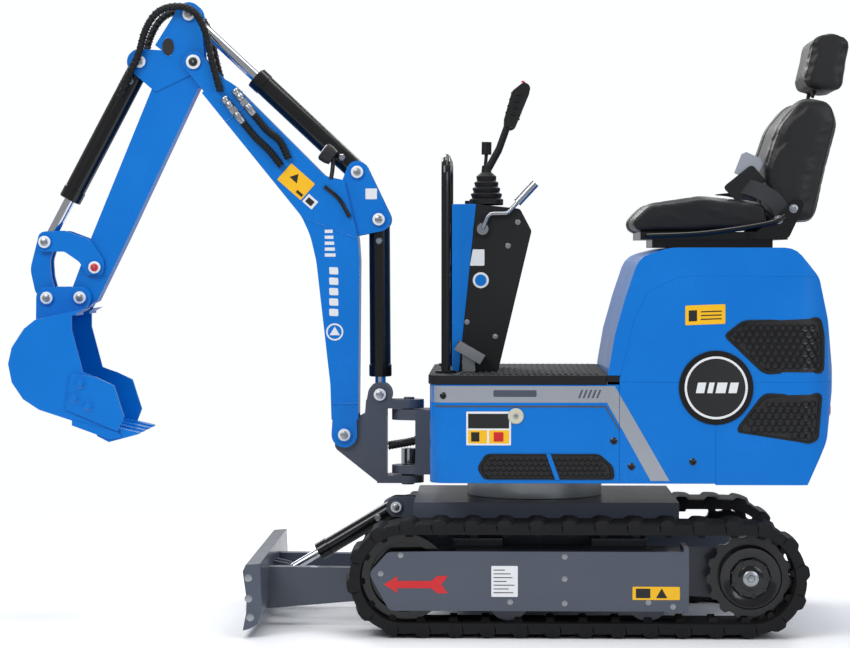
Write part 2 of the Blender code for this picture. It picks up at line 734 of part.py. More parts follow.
def swing_bracket():
    outline = rounded(
        [(-0.262, 0.478, 0.02), (-0.135, 0.377, 0.01), (-0.113, 0.377, 0), (-0.113, 0.610, 0), (-0.171, 0.610, 0),
         (-0.174, 0.572, 0.0), (-0.243, 0.533, 0.02)]
    )
    body = side_plate(outline, -0.0425, 0.0425)
    joined(body, disc(BOOM_FOOT, 0.035, -0.0425, 0.0425, 26))
    ear = hull([(*BOOM_ROD_EYE, 0.034), (-0.171, 0.600, 0), (-0.113, 0.580, 0)])
    joined(body, side_plate(ear, -0.0425, 0.0425))
    for z0, z1, pin_0, pin_1 in ((0.586, 0.610, 0.556, 0.616), (0.377, 0.398, 0.371, 0.423)):
        fork = hull([(SWING_AXIS_X, 0, 0.045), (-0.14, 0.0425, 0), (-0.14, -0.0425, 0)])
        joined(body, floor_shape(fork, z0, z1))
        joined(body, rod_between((SWING_AXIS_X, 0, pin_0), (SWING_AXIS_X, 0, pin_1), 0.018, 26))
    cut(body, disc(BOOM_ROD_EYE, 0.067, -0.022, 0.022, 28))
    lever = hull([(SWING_AXIS_X, 0.090, 0.022), (SWING_AXIS_X, 0, 0.03), (-0.12, 0.02, 0.02)])
    joined(body, floor_shape(lever, 0.377, 0.398))
    for side in (-1, 1):
        joined(body, disc(BOOM_ROD_EYE, 0.018, side * 0.042, side * 0.050))
    return cut(body, disc(BOOM_FOOT, BORE, -0.1, 0.1))


def boom():
    outline = rounded(
        [(-0.267, 0.555, 0), (-0.270, 0.653, 0), (-0.301, 0.925, 0.2), (-0.309, 0.998, 0.2), (-0.326, 1.070, 0.2),
         (-0.350, 1.122, 0.1), (-0.628, 1.466, 0.0), (-0.578, 1.513, 0.0), (-0.540, 1.491, 0.1),
         (-0.284, 1.235, 0.03), (-0.231, 1.223, 0.01), (-0.192, 1.060, 0.1), (-0.188, 1.000, 0.1), (-0.192, 0.555, 0)]
    )
    body = side_plate(outline, -BOOM_HALF, BOOM_HALF)
    joined(body, side_plate(hull([(*BOOM_FOOT, 0.036), (-0.261, 0.61, 0), (-0.199, 0.61, 0)]), -BOOM_HALF, BOOM_HALF))
    tip = hull([(*ARM_PIVOT, 0.030), (-0.590, 1.430, 0), (-0.545, 1.480, 0)])
    joined(body, side_plate(tip, -BOOM_HALF, BOOM_HALF))
    cut(body, disc(BOOM_FOOT, 0.070, -FORK_INNER, FORK_INNER, 28))
    cut(body, disc(ARM_PIVOT, 0.125, -FORK_INNER, FORK_INNER, 28))
    lug = hull([(*ARM_BARREL_BASE, 0.031), (*BOOM_BARREL_BASE, 0.034), (-0.240, 1.215, 0), (-0.235, 1.06, 0)])
    for side in (-1, 1):
        joined(body, side_plate(lug, side * 0.0335, side * 0.0445))
        for pin in (ARM_BARREL_BASE, BOOM_BARREL_BASE):
            joined(body, disc(pin, 0.019, side * 0.044, side * 0.053))
        for pin in (BOOM_FOOT, ARM_PIVOT):
            joined(body, disc(pin, 0.021, side * 0.056, side * 0.063))
    for pin, reach in ((BOOM_FOOT, 0.060), (ARM_PIVOT, 0.060), (ARM_BARREL_BASE, 0.050), (BOOM_BARREL_BASE, 0.050)):
        joined(body, disc(pin, PIN, -reach, reach))
    return body


def arm():
    core = rounded(
        [(-0.754, 1.517, 0.01), (-0.712, 1.600, 0.01), (-0.640, 1.600, 0.02), (-0.622, 1.545, 0.02), (-0.637, 1.486, 0.02),
         (-0.841, 1.056, 0), (-0.925, 0.885, 0), (-0.968, 0.864, 0.01), (-1.001, 0.905, 0.01), (-0.944, 1.056, 0)]
    )
    body = side_plate(core, -ARM_HALF, ARM_HALF)
    joined(body, disc(BUCKET_PIVOT, 0.034, -ARM_HALF, ARM_HALF, 26))
    rear = hull([(*BUCKET_BARREL_BASE, 0.036), (*ARM_PIVOT, 0.028), (-0.760, 1.47, 0.0)])
    top = hull([(*ARM_ROD_EYE, 0.035), (*ARM_PIVOT, 0.028), (-0.760, 1.60, 0.0)])
    for side in (-1, 1):
        plate = side_plate(rear, side * 0.0325, side * 0.0425)
        joined(plate, side_plate(top, side * 0.0325, side * 0.0425))
        joined(body, plate)
        for pin in (ARM_ROD_EYE, BUCKET_BARREL_BASE):
            joined(body, disc(pin, 0.019, side * 0.042, side * 0.050))
    joined(body, disc(BUCKET_BARREL_BASE, PIN, -0.045, 0.045), disc(BUCKET_PIVOT, 0.024, -0.054, 0.054, 26))
    for pin in (ARM_PIVOT, GUIDE_PIVOT, BUCKET_PIVOT):
        cut(body, disc(pin, BORE, -0.1, 0.1))
    return body


def guide_link():
    outline = rounded(
        [(-1.092, 1.040, 0.015), (-1.085, 1.080, 0.02), (-1.012, 1.083, 0.04), (-0.940, 1.056, 0.04), (-0.903, 1.000, 0.03),
         (-0.905, 0.958, 0.015), (-0.950, 0.958, 0.015), (-0.972, 0.995, 0.03), (-1.014, 1.024, 0.02), (-1.080, 1.024, 0.015)]
    )
    body = disc(GUIDE_PIVOT, PIN, -0.054, 0.054)
    for side in (-1, 1):
        joined(body, side_plate(outline, side * 0.044, side * 0.054))
        joined(body, disc(KNUCKLE, 0.019, side * 0.0535, side * 0.060))
        joined(body, disc(GUIDE_PIVOT, 0.019, side * 0.0535, side * 0.060))
        joined(body, disc(KNUCKLE, PIN, side * 0.0215, side * 0.050))
    return body


def bucket_link():
    outline = rounded(
        [(-1.094, 1.050, 0.02), (-1.080, 1.076, 0.02), (-1.052, 1.074, 0.02), (-1.044, 1.040, 0.02), (-1.057, 1.000, 0.05),
         (-1.054, 0.955, 0.05), (-1.039, 0.900, 0.02), (-1.050, 0.874, 0.012), (-1.078, 0.876, 0.015), (-1.100, 0.915, 0.03),
         (-1.113, 0.975, 0.06)]
    )
    web = side_plate([(-1.097, 0.955), (-1.060, 0.955), (-1.050, 0.900), (-1.090, 0.900)], -0.030, 0.030)
    body = joined(disc(BUCKET_LINK_PIN, 0.022, -0.054, 0.054, 26), web)
    for side in (-1, 1):
        joined(body, side_plate(outline, side * 0.022, side * 0.036))
    return cut(body, disc(KNUCKLE, BORE, -0.1, 0.1), disc(BUCKET_LINK_PIN, PIN, -0.1, 0.1))


def bucket():
    side_outline = [
        (-0.940, 0.866), (-1.075, 0.836), (-1.105, 0.812), (-1.139, 0.760), (-1.149, 0.715), (-1.139, 0.664),
        (-1.108, 0.618), (-1.064, 0.589), (-0.969, 0.558), (-0.850, 0.524), (-0.829, 0.571), (-0.856, 0.656),
        (-0.903, 0.678), (-0.942, 0.692), (-0.973, 0.809), (-0.973, 0.847),
    ]
    hollow = [
        (-0.920, 0.863), (-1.0735, 0.829), (-1.100, 0.808), (-1.132, 0.757), (-1.142, 0.715), (-1.133, 0.667),
        (-1.104, 0.624), (-1.062, 0.596), (-0.967, 0.565), (-0.845, 0.5305), (-0.600, 0.461), (-0.600, 0.935),
    ]
    body = cut(side_plate(side_outline, -0.190, 0.190), side_plate(hollow, -0.184, 0.184))
    joined(body, box(-0.974, -0.960, -0.187, 0.187, 0.848, 0.857))
    cut(body, disc(BUCKET_PIVOT, 0.078, -0.0572, 0.0572, 40))
    lip = [(-0.973, 0.561), (-0.973, 0.546), (-0.869, 0.508), (-0.836, 0.514), (-0.845, 0.528)]
    joined(body, side_plate(lip, -0.192, 0.192))
    tooth = [(-0.905, 0.517), (-0.872, 0.500), (-0.790, 0.522), (-0.790, 0.526), (-0.850, 0.540), (-0.905, 0.546)]
    for y in (-0.165, -0.055, 0.055, 0.165):
        joined(body, side_plate(tooth, y - 0.021, y + 0.021))
    ear = hull([(*BUCKET_LINK_PIN, 0.030), (*BUCKET_PIVOT, 0.030), (-1.092, 0.818, 0), (-0.955, 0.858, 0)])
    cutter = [(-0.975, 0.690), (-0.903, 0.678), (-0.856, 0.656), (-0.829, 0.571), (-0.845, 0.530), (-0.990, 0.590)]
    for side in (-1, 1):
        joined(body, side_plate(ear, side * 0.058, side * 0.070))
        joined(body, side_plate(cutter, side * 0.189, side * 0.197))
        for pin in (BUCKET_LINK_PIN, BUCKET_PIVOT):
            joined(body, disc(pin, 0.020, side * 0.0695, side * 0.077))
    return joined(body, disc(BUCKET_PIVOT, PIN, -0.065, 0.065))


def arm_hose():
    """The left hose from the boom over the arm's head to the bucket cylinder."""
    path = [
        (-0.575, -0.0680, 1.470), (-0.606, -0.0700, 1.575), (-0.622, -0.0720, 1.668), (-0.700, -0.0740, 1.712),
        (-0.775, -0.0720, 1.672), (-0.802, -0.0645, 1.575), (-0.838, -0.0600, 1.500), (-0.8590, -0.0413, 1.448),
    ]
    return tube(bent(path, 0.06, 4), 0.011, 10)


finish(swing_bracket(), "swing_bracket", "slate", swing_axis)
finish(boom(), "boom", "blue", boom_axis)
finish(barrel(BOOM_BARREL_BASE, BOOM_ROD_EYE, 0.440, BARREL_RADIUS, ROD_RADIUS, 0.029, PIN), "boom_cylinder", "black_paint", boom_barrel_axis)
finish(rod(BOOM_BARREL_BASE, BOOM_ROD_EYE, 0.10, ROD_RADIUS, 0.0245, EYE_HALF), "boom_cylinder_rod", "chrome", boom_barrel_axis)
finish(barrel(ARM_BARREL_BASE, ARM_ROD_EYE, 0.392, BARREL_RADIUS, ROD_RADIUS, 0.029, PIN), "arm_cylinder", "black_paint", arm_barrel_axis)
finish(rod(ARM_BARREL_BASE, ARM_ROD_EYE, 0.265, ROD_RADIUS, 0.0245, EYE_HALF), "arm_cylinder_rod", "chrome", arm_barrel_axis)
finish(arm(), "arm", "blue", arm_axis)
finish(barrel(BUCKET_BARREL_BASE, KNUCKLE, 0.435, BARREL_RADIUS, ROD_RADIUS, 0.029, PIN), "bucket_cylinder", "black_paint", bucket_barrel_axis)
finish(rod(BUCKET_BARREL_BASE, KNUCKLE, 0.25, ROD_RADIUS, 0.0245, EYE_HALF), "bucket_cylinder_rod", "chrome", bucket_barrel_axis)
finish(guide_link(), "guide_link", "slate", guide_axis)
finish(bucket_link(), "bucket_link", "slate", knuckle_axis)
finish(bucket(), "bucket", "slate", bucket_axis)
left_hose = arm_hose()
finish(mirrored(left_hose), "arm_hose_right", "rubber", boom_axis)
finish(left_hose, "arm_hose_left", "rubber", boom_axis)
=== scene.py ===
"""Looks for the mini excavator: materials, fittings, seat, tracks, and a studio view from its left side."""

import json
import math

import bmesh
import bpy
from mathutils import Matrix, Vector


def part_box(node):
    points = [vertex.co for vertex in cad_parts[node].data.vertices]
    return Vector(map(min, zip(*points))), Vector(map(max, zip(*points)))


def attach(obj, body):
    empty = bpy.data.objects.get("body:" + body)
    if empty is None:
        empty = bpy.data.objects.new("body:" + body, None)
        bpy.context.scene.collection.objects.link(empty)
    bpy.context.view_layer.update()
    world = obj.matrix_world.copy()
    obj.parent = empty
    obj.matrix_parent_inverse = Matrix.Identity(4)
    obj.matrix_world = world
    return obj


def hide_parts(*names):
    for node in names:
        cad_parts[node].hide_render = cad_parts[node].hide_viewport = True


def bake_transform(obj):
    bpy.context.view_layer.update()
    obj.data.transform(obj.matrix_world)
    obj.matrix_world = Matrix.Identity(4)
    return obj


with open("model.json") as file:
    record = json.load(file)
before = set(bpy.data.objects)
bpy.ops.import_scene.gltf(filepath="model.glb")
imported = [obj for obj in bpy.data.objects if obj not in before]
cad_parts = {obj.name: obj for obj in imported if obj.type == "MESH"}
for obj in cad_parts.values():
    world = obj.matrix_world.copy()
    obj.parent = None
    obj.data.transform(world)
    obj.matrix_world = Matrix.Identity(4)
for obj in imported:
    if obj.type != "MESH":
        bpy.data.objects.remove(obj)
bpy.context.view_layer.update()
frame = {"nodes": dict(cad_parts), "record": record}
NODES = frame["nodes"]
BODY_OF = {node: body for body, nodes in frame["record"]["behaviour"]["bodies"].items() for node in nodes}
scene = bpy.context.scene


# ---- Camera, as the machine is seen from its left side ----

camera_data = bpy.data.cameras.new("camera")
camera_data.sensor_width = 36
camera_data.lens = 115.6
camera = bpy.data.objects.new("camera", camera_data)
scene.collection.objects.link(camera)
camera.location = (0.192, -7.655, 1.009)
camera.rotation_euler = (Vector((-0.0072, 0, 0.821)) - camera.location).to_track_quat("-Z", "Y").to_euler()
scene.camera = camera


# ---- Materials ----


def linear(code):
    """The linear colour of an sRGB hex code."""
    parts = [int(code[i:i + 2], 16) / 255 for i in (1, 3, 5)]
    return [p / 12.92 if p <= 0.04045 else ((p + 0.055) / 1.055) ** 2.4 for p in parts] + [1]


def add(material, kind, settings=None, links=None):
    """Adds a shader node, sets its attributes and inputs, and links outputs of other nodes to its inputs."""
    tree = material.node_tree
    made = tree.nodes.new(kind)
    for key, value in (settings or {}).items():
        if key in made.inputs:
            made.inputs[key].default_value = value
        else:
            setattr(made, key, value)
    for key, output in (links or {}).items():
        tree.links.new(output, made.inputs[key])
    return made


def surface(
    name, colour, roughness, metallic=0.0, coat=0.0, tint=None, spread=0.05, grain=0.0, grain_scale=300.0,
    sheen=0.0, gloss=0.5
):
    """A finish with mottled colour and roughness and a fine grain; gloss is its specular level."""
    made = bpy.data.materials.new(name)
    made.use_nodes = True
    tree = made.node_tree
    shader = tree.nodes["Principled BSDF"]
    place = add(made, "ShaderNodeTexCoord").outputs["Object"]
    broad = add(
        made, "ShaderNodeTexNoise", {"Scale": 6.0, "Detail": 6.0, "Roughness": 0.6}, {"Vector": place}
    )
    fine = add(made, "ShaderNodeTexNoise", {"Scale": grain_scale, "Detail": 3.0}, {"Vector": place})
    mix = add(
        made, "ShaderNodeMixRGB", {
            "Color1": linear(colour), "Color2": linear(tint or colour)
        }, {"Fac": broad.outputs["Fac"]}
    )
    tree.links.new(mix.outputs["Color"], shader.inputs["Base Color"])
    rough = add(
        made, "ShaderNodeMapRange",
        {
            "From Min": 0.3, "From Max": 0.7, "To Min": max(roughness - spread, 0.02),
            "To Max": roughness + spread
        },
        {"Value": broad.outputs["Fac"]},
    )
    tree.links.new(rough.outputs["Result"], shader.inputs["Roughness"])
    if grain:
        bump = add(
            made, "ShaderNodeBump", {"Strength": grain, "Distance": 0.0006}, {"Height": fine.outputs["Fac"]}
        )
        tree.links.new(bump.outputs["Normal"], shader.inputs["Normal"])
    shader.inputs["Metallic"].default_value = metallic
    shader.inputs["Coat Weight"].default_value = coat
    shader.inputs["Coat Roughness"].default_value = 0.06
    shader.inputs["Sheen Weight"].default_value = sheen
    shader.inputs["Specular IOR Level"].default_value = gloss
    return made


BLUE = surface(
    "blue_gloss", "#006cc4", 0.24, coat=0.22, tint="#0076d0", grain=0.05, grain_scale=900, gloss=0.25
)
SLATE = surface(
    "slate_gloss", "#424956", 0.36, coat=0.25, tint="#4a515f", grain=0.08, grain_scale=700, gloss=0.4
)
BLACK = surface("black_gloss", "#0c0c0d", 0.2, coat=0.35, tint="#111113", grain=0.04, gloss=0.3)
CHROME = surface("rod_chrome", "#d9dce0", 0.08, metallic=1.0, tint="#cfd3d8", spread=0.03)
STEEL = surface("zinc_steel", "#a9adb1", 0.34, metallic=1.0, tint="#969a9e", grain=0.15)
CASTING = surface("dark_casting", "#1b1c1f", 0.5, metallic=0.3, tint="#242529", grain=0.5, grain_scale=240)
TRACK = surface("track_rubber", "#0d0e0f", 0.7, tint="#151516", grain=0.5, grain_scale=420, gloss=0.25)
RUBBER = surface("soft_rubber", "#0e0e0f", 0.62, tint="#141415", grain=0.25, gloss=0.3)
PLASTIC = surface("moulded_plastic", "#111213", 0.48, tint="#17181a", grain=0.4, grain_scale=1100, gloss=0.3)
VINYL = surface(
    "seat_vinyl", "#121213", 0.42, tint="#19191a", grain=0.6, grain_scale=650, sheen=0.05, gloss=0.35
)
WEBBING = surface("belt_webbing", "#202123", 0.8, tint="#2a2b2e", grain=0.9, grain_scale=900)
SILVER = surface("silver_film", "#b9bec6", 0.3, metallic=0.65, tint="#a9afb8", grain=0.1)
CREAM = surface("cream_paint", "#cfcdbb", 0.45, tint="#bdbba8", grain=0.1)
WHITE = surface("white_film", "#e6e8ea", 0.4, tint="#dcdfe2")
YELLOW = surface("yellow_film", "#f0b400", 0.42, tint="#f5bf12")
RED = surface("red_film", "#c2161d", 0.38, tint="#cf2228")
# Black for print, also used as the painted shade behind the vent meshes.
INK_AND_PAINTED_SHADE = surface("print_and_painted_shade_black", "#0d0d0e", 0.45, tint="#151516")
LENS = surface("red_lens", "#a30d12", 0.12, coat=1.0, tint="#b8141a")
ENGINE = surface("engine_block", "#3a3c40", 0.6, metallic=0.4, tint="#2b2d30", grain=0.4)

FINISH = {
    "blue_paint": BLUE, "slate_paint": SLATE, "black_paint": BLACK, "chrome": CHROME, "track_rubber": RUBBER,
    "black_plastic": PLASTIC, "steel": STEEL, "vinyl": VINYL, "engine_block": ENGINE,
}
SLOT_OF = {part["node"]: part["material_slot"] for part in frame["record"]["subparts"]}


# ---- Carried-over pieces, their edges rounded ----


def put(name, mesh, material, body):
    """Links a finished mesh as a piece on a body; given a pair (a, b, start, end) it is left unattached, its
    transform baked.
    """
    made = bpy.data.objects.new(name, mesh)
    scene.collection.objects.link(made)
    if not mesh.materials:
        mesh.materials.append(material)
    if isinstance(body, str):
        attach(made, body)
    else:
        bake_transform(made)
    return made


def softened(node, width, segments=2, material=None):
    """A copy of a CAD node with bevelled edges, which stands in for it."""
    work = bmesh.new()
    work.from_mesh(NODES[node].data)
    bmesh.ops.remove_doubles(work, verts=work.verts, dist=2e-5)
    bmesh.ops.dissolve_limit(work, angle_limit=math.radians(0.6), verts=work.verts, edges=work.edges)
    mesh = bpy.data.meshes.new(node + "_look")
    work.to_mesh(mesh)
    work.free()
    for face in mesh.polygons:
        face.use_smooth = True
        face.material_index = 0
    made = put(node + "_look", mesh, material or FINISH[SLOT_OF[node]], BODY_OF[node])
    bevel = made.modifiers.new("edges", "BEVEL")
    bevel.width = width
    bevel.segments = segments
    bevel.limit_method = "ANGLE"
    bevel.angle_limit = math.radians(38)
    bevel.harden_normals = False
    bevel.use_clamp_overlap = True
    normals = made.modifiers.new("normals", "WEIGHTED_NORMAL")
    normals.keep_sharp = True
    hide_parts(node)
    return made


SOFT = ("seat_cushion", "seat_back", "headrest")
ROUND = (
    "joystick_left", "joystick_right", "guard_rail", "arm_hose_left", "arm_hose_right", "track_left",
    "track_right"
)
for node, thing in NODES.items():
    thing.data.materials.clear()
    thing.data.materials.append(FINISH[SLOT_OF[node]])
    if node in SOFT or node in ROUND:
        continue
    small = max(thing.dimensions) < 0.3 or "link" in node
    softened(node, 0.0009 if small else 0.0014, material=BLACK if node.startswith("sprocket") else None)


# ---- Small shapes used all over ----


def mesh_of(name, work, smooth=True):
    mesh = bpy.data.meshes.new(name)
    bmesh.ops.recalc_face_normals(work, faces=work.faces)
    work.to_mesh(mesh)
    work.free()
    for face in mesh.polygons:
        face.use_smooth = smooth
    if smooth:
        mesh.set_sharp_from_angle(angle=math.radians(35))
    return mesh


def lathe(name, profile, place, axis, material, body, sides=40):
    """A turned piece, its profile given as (distance along the axis, radius) from `place`."""
    work = bmesh.new()
    along = Vector(axis).normalized()
    turn = along.to_track_quat("Z", "Y").to_matrix()
    rings = []
    for distance, radius in profile:
        ring = []
        for k in range(sides):
            a = 2 * math.pi * k / sides
            point = turn @ Vector((radius * math.cos(a), radius * math.sin(a), distance))
            ring.append(work.verts.new(Vector(place) + point))
        rings.append(ring)
    for low, high in zip(rings, rings[1:]):
        for k in range(sides):
            work.faces.new((low[k], low[(k + 1) % sides], high[(k + 1) % sides], high[k]))
    work.faces.new(rings[0][::-1])
    work.faces.new(rings[-1])
    return put(name, mesh_of(name, work), material, body)


def bolt(name, place, axis, radius, material, body):
    """A hexagon head on its washer."""
    head = lathe(
        name, [
            (0.0, radius * 0.9), (0.0, radius * 0.97), (radius * 0.62, radius * 0.97),
            (radius * 0.75, radius * 0.8)
        ],
        place, axis, material, body, 6,
    )
    washer = [
        (0.0, radius * 1.1), (0.0, radius * 1.45), (radius * 0.16, radius * 1.45),
        (radius * 0.2, radius * 1.3)
    ]
    lathe(name + "_washer", washer, place, axis, material, body, 28)
    return head


def hose(name, points, radius, material, body, spiral=0.0):
    """A smooth tube through points, with a wound guard where spiral gives its pitch."""
    curve = bpy.data.curves.new(name, "CURVE")
    curve.dimensions = "3D"
    spline = curve.splines.new("NURBS")
    spline.points.add(len(points) - 1)
    for target, place in zip(spline.points, points):
        target.co = (*place, 1)
    spline.use_endpoint_u = True
    spline.order_u = 4
    spline.resolution_u = 10
    curve.bevel_depth = radius
    curve.bevel_resolution = 5
    curve.use_fill_caps = True
    curve.materials.append(material)
    made = bpy.data.objects.new(name, curve)
    scene.collection.objects.link(made)
    graph = bpy.context.evaluated_depsgraph_get()
    mesh = bpy.data.meshes.new_from_object(made.evaluated_get(graph))
    bpy.data.objects.remove(made, do_unlink=True)
    for face in mesh.polygons:
        face.use_smooth = True
    mesh.name = name
    made = put(name, mesh, material, body)
    if spiral:
        wound(name + "_guard", points, radius, spiral, body)
    return made


def smooth_path(points, count):
    """Evenly indexed points of a Catmull-Rom curve through points."""
    knots = [Vector(p) for p in points]
    knots = [2 * knots[0] - knots[1]] + knots + [2 * knots[-1] - knots[-2]]
    result = []
    for i in range(count):
        t = i / (count - 1) * (len(knots) - 3)
        k = min(int(t), len(knots) - 4)
        t -= k
        a, b, c, d = knots[k:k + 4]
        result.append(
            0.5 * (
                2 * b + (c - a) * t + (2 * a - 5 * b + 4 * c - d) * t * t + (3 * b - a - 3 * c + d) * t ** 3
            )
        )
    return result


def wound(name, points, radius, pitch, body):
    """A flat plastic strip wound round a hose."""
    path = smooth_path(points, 400)
    length = sum((b - a).length for a, b in zip(path, path[1:]))
    turns = length / pitch
    work = bmesh.new()
    across = None
    previous = None
    for i, centre in enumerate(path):
        along = (path[min(i + 1, 399)] - path[max(i - 1, 0)]).normalized()
        across = along.orthogonal() if across is None else across - along * across.dot(along)
        across.normalize()
        angle = 2 * math.pi * turns * i / 399
        out = math.cos(angle) * across + math.sin(angle) * along.cross(across)
        half = along * pitch * 0.3
        row = [
            centre + out * r + s * half for s,
            r in ((-1, radius), (-0.8, radius + 0.0018), (0.8, radius + 0.0018), (1, radius))
        ]
        row = [work.verts.new(p) for p in row]
        if previous:
            for a in range(3):
                work.faces.new((previous[a], previous[a + 1], row[a + 1], row[a]))
        previous = row
    made = put(name, mesh_of(name, work), PLASTIC, body)
    solid = made.modifiers.new("thick", "SOLIDIFY")
    solid.thickness = 0.0008
    return made


def skin(x, z):
    """How far the house's side stands from the centre plane at (x, z)."""
    if x > 0.995:
        return 0.30 + math.sqrt(max(0.10 ** 2 - min(x - 0.995, 0.099) ** 2, 0))
    if x < 0.065 and z < 0.67:
        return 0.35 + math.sqrt(max(0.05 ** 2 - min(0.065 - x, 0.049) ** 2, 0))
    return 0.40


def applied(name, outline, material, body, side, base=None, thickness=0.0008, step=0.01):
    """A thin sheet on one side, cut to an (x, z) outline; base is its distance from the centre plane."""
    work = bmesh.new()
    face = work.faces.new([work.verts.new((x, 0, z)) for x, z in outline])
    face.normal_update()
    low, high = min(x for x, z in outline), max(x for x, z in outline)
    if base is None and (high > 0.98 or low < 0.065):
        x = low + step
        while x < high:
            geometry = list(work.verts) + list(work.edges) + list(work.faces)
            bmesh.ops.bisect_plane(work, geom=geometry, plane_co=(x, 0, 0), plane_no=(1, 0, 0))
            x += step
    bmesh.ops.triangulate(work, faces=[f for f in work.faces if len(f.verts) > 4])
    made = bmesh.ops.extrude_face_region(work, geom=list(work.faces))
    outer = {g for g in made["geom"] if isinstance(g, bmesh.types.BMVert)}
    for vertex in work.verts:
        level = skin(vertex.co.x, vertex.co.z) if base is None else base
        vertex.co.y = side * (level + (thickness if vertex in outer else -0.0004))
    return put(name, mesh_of(name, work), material, body)


def corners(points, radius, steps=5):
    """Rounds an outline's corners by one radius."""
    result = []
    for i, point in enumerate(points):
        here = Vector(point)
        back, onward = Vector(points[i - 1]) - here, Vector(points[(i + 1) % len(points)]) - here
        reach = min(radius, back.length * 0.45, onward.length * 0.45)
        first, last = here + back.normalized() * reach, here + onward.normalized() * reach
        for k in range(steps + 1):
            t = k / steps
            p = (1 - t) ** 2 * first + 2 * t * (1 - t) * here + t * t * last
            result.append((p.x, p.y))
    return result


def ring_of(centre, outer, inner, steps=48):
    """A washer's outline as one band of points, with its start doubled."""
    points = []
    for radius, order in ((outer, range(steps + 1)), (inner, range(steps, -1, -1))):
        for k in order:
            a = 2 * math.pi * (k if k < steps else steps - 0.001) / steps
            points.append((centre[0] + radius * math.cos(a), centre[1] + radius * math.sin(a)))
    return points


def inside(x, z, outline):
    found = False
    for (x0, z0), (x1, z1) in zip(outline, outline[1:] + outline[:1]):
        if (z0 > z) != (z1 > z) and x < (x1 - x0) * (z - z0) / (z1 - z0) + x0:
            found = not found
    return found


def honeycomb(name, outline, cell, body, side, wall=0.16):
    """A black mesh of hexagons that fills an outline, over a dark sheet of painted shade for the depth
    behind the vent, in a raised frame.
    """
    # The dark backing sheet is painted shade that stands in for the depth behind the vent.
    applied(name + "_back", outline, INK_AND_PAINTED_SHADE, body, side, thickness=0.0004)
    work = bmesh.new()
    xs, zs = [p[0] for p in outline], [p[1] for p in outline]
    row = 0
    z = min(zs)
    while z < max(zs):
        x = min(xs) + (row % 2) * cell * 0.5
        while x < max(xs):
            rim = [(
                x + cell * 0.52 * math.sin(k * math.pi / 3), z + cell * 0.52 * math.cos(k * math.pi / 3)
            ) for k in range(6)]
            if all(inside(*p, outline) for p in rim):
                rings = []
                for scale, lift in (
                    (1.02, 0.0006), (1.0, 0.0034), (1.04 - 2 * wall, 0.0030), (0.98 - 2 * wall, 0.0006)
                ):
                    ring = []
                    for px, pz in rim:
                        qx, qz = x + (px - x) * scale, z + (pz - z) * scale
                        ring.append(work.verts.new((qx, side * (skin(qx, qz) + lift), qz)))
                    rings.append(ring)
                for low, high in zip(rings, rings[1:]):
                    for k in range(6):
                        work.faces.new((low[k], low[(k + 1) % 6], high[(k + 1) % 6], high[k]))
            x += cell
        z += cell * 0.866
        row += 1
    put(name, mesh_of(name, work), BLACK, body)
    edge = bmesh.new()
    rings = []
    middle = (sum(xs) / len(xs), sum(zs) / len(zs))
    for grow, lift in ((0.006, -0.0004), (0.0045, 0.0032), (-0.0035, 0.0038), (-0.006, 0.0008)):
        ring = []
        for x, z in outline:
            out = (Vector((x, z)) - Vector(middle)).normalized() * grow
            ring.append(edge.verts.new((x + out.x, side * (skin(x + out.x, z) + lift), z + out.y)))
        rings.append(ring)
    for low, high in zip(rings, rings[1:]):
        for k in range(len(low)):
            edge.faces.new((low[k], low[(k + 1) % len(low)], high[(k + 1) % len(low)], high[k]))
    put(name + "_frame", mesh_of(name + "_frame", edge), PLASTIC, body)


# ---- House sides: silver stripe, vents, round badge, labels ----

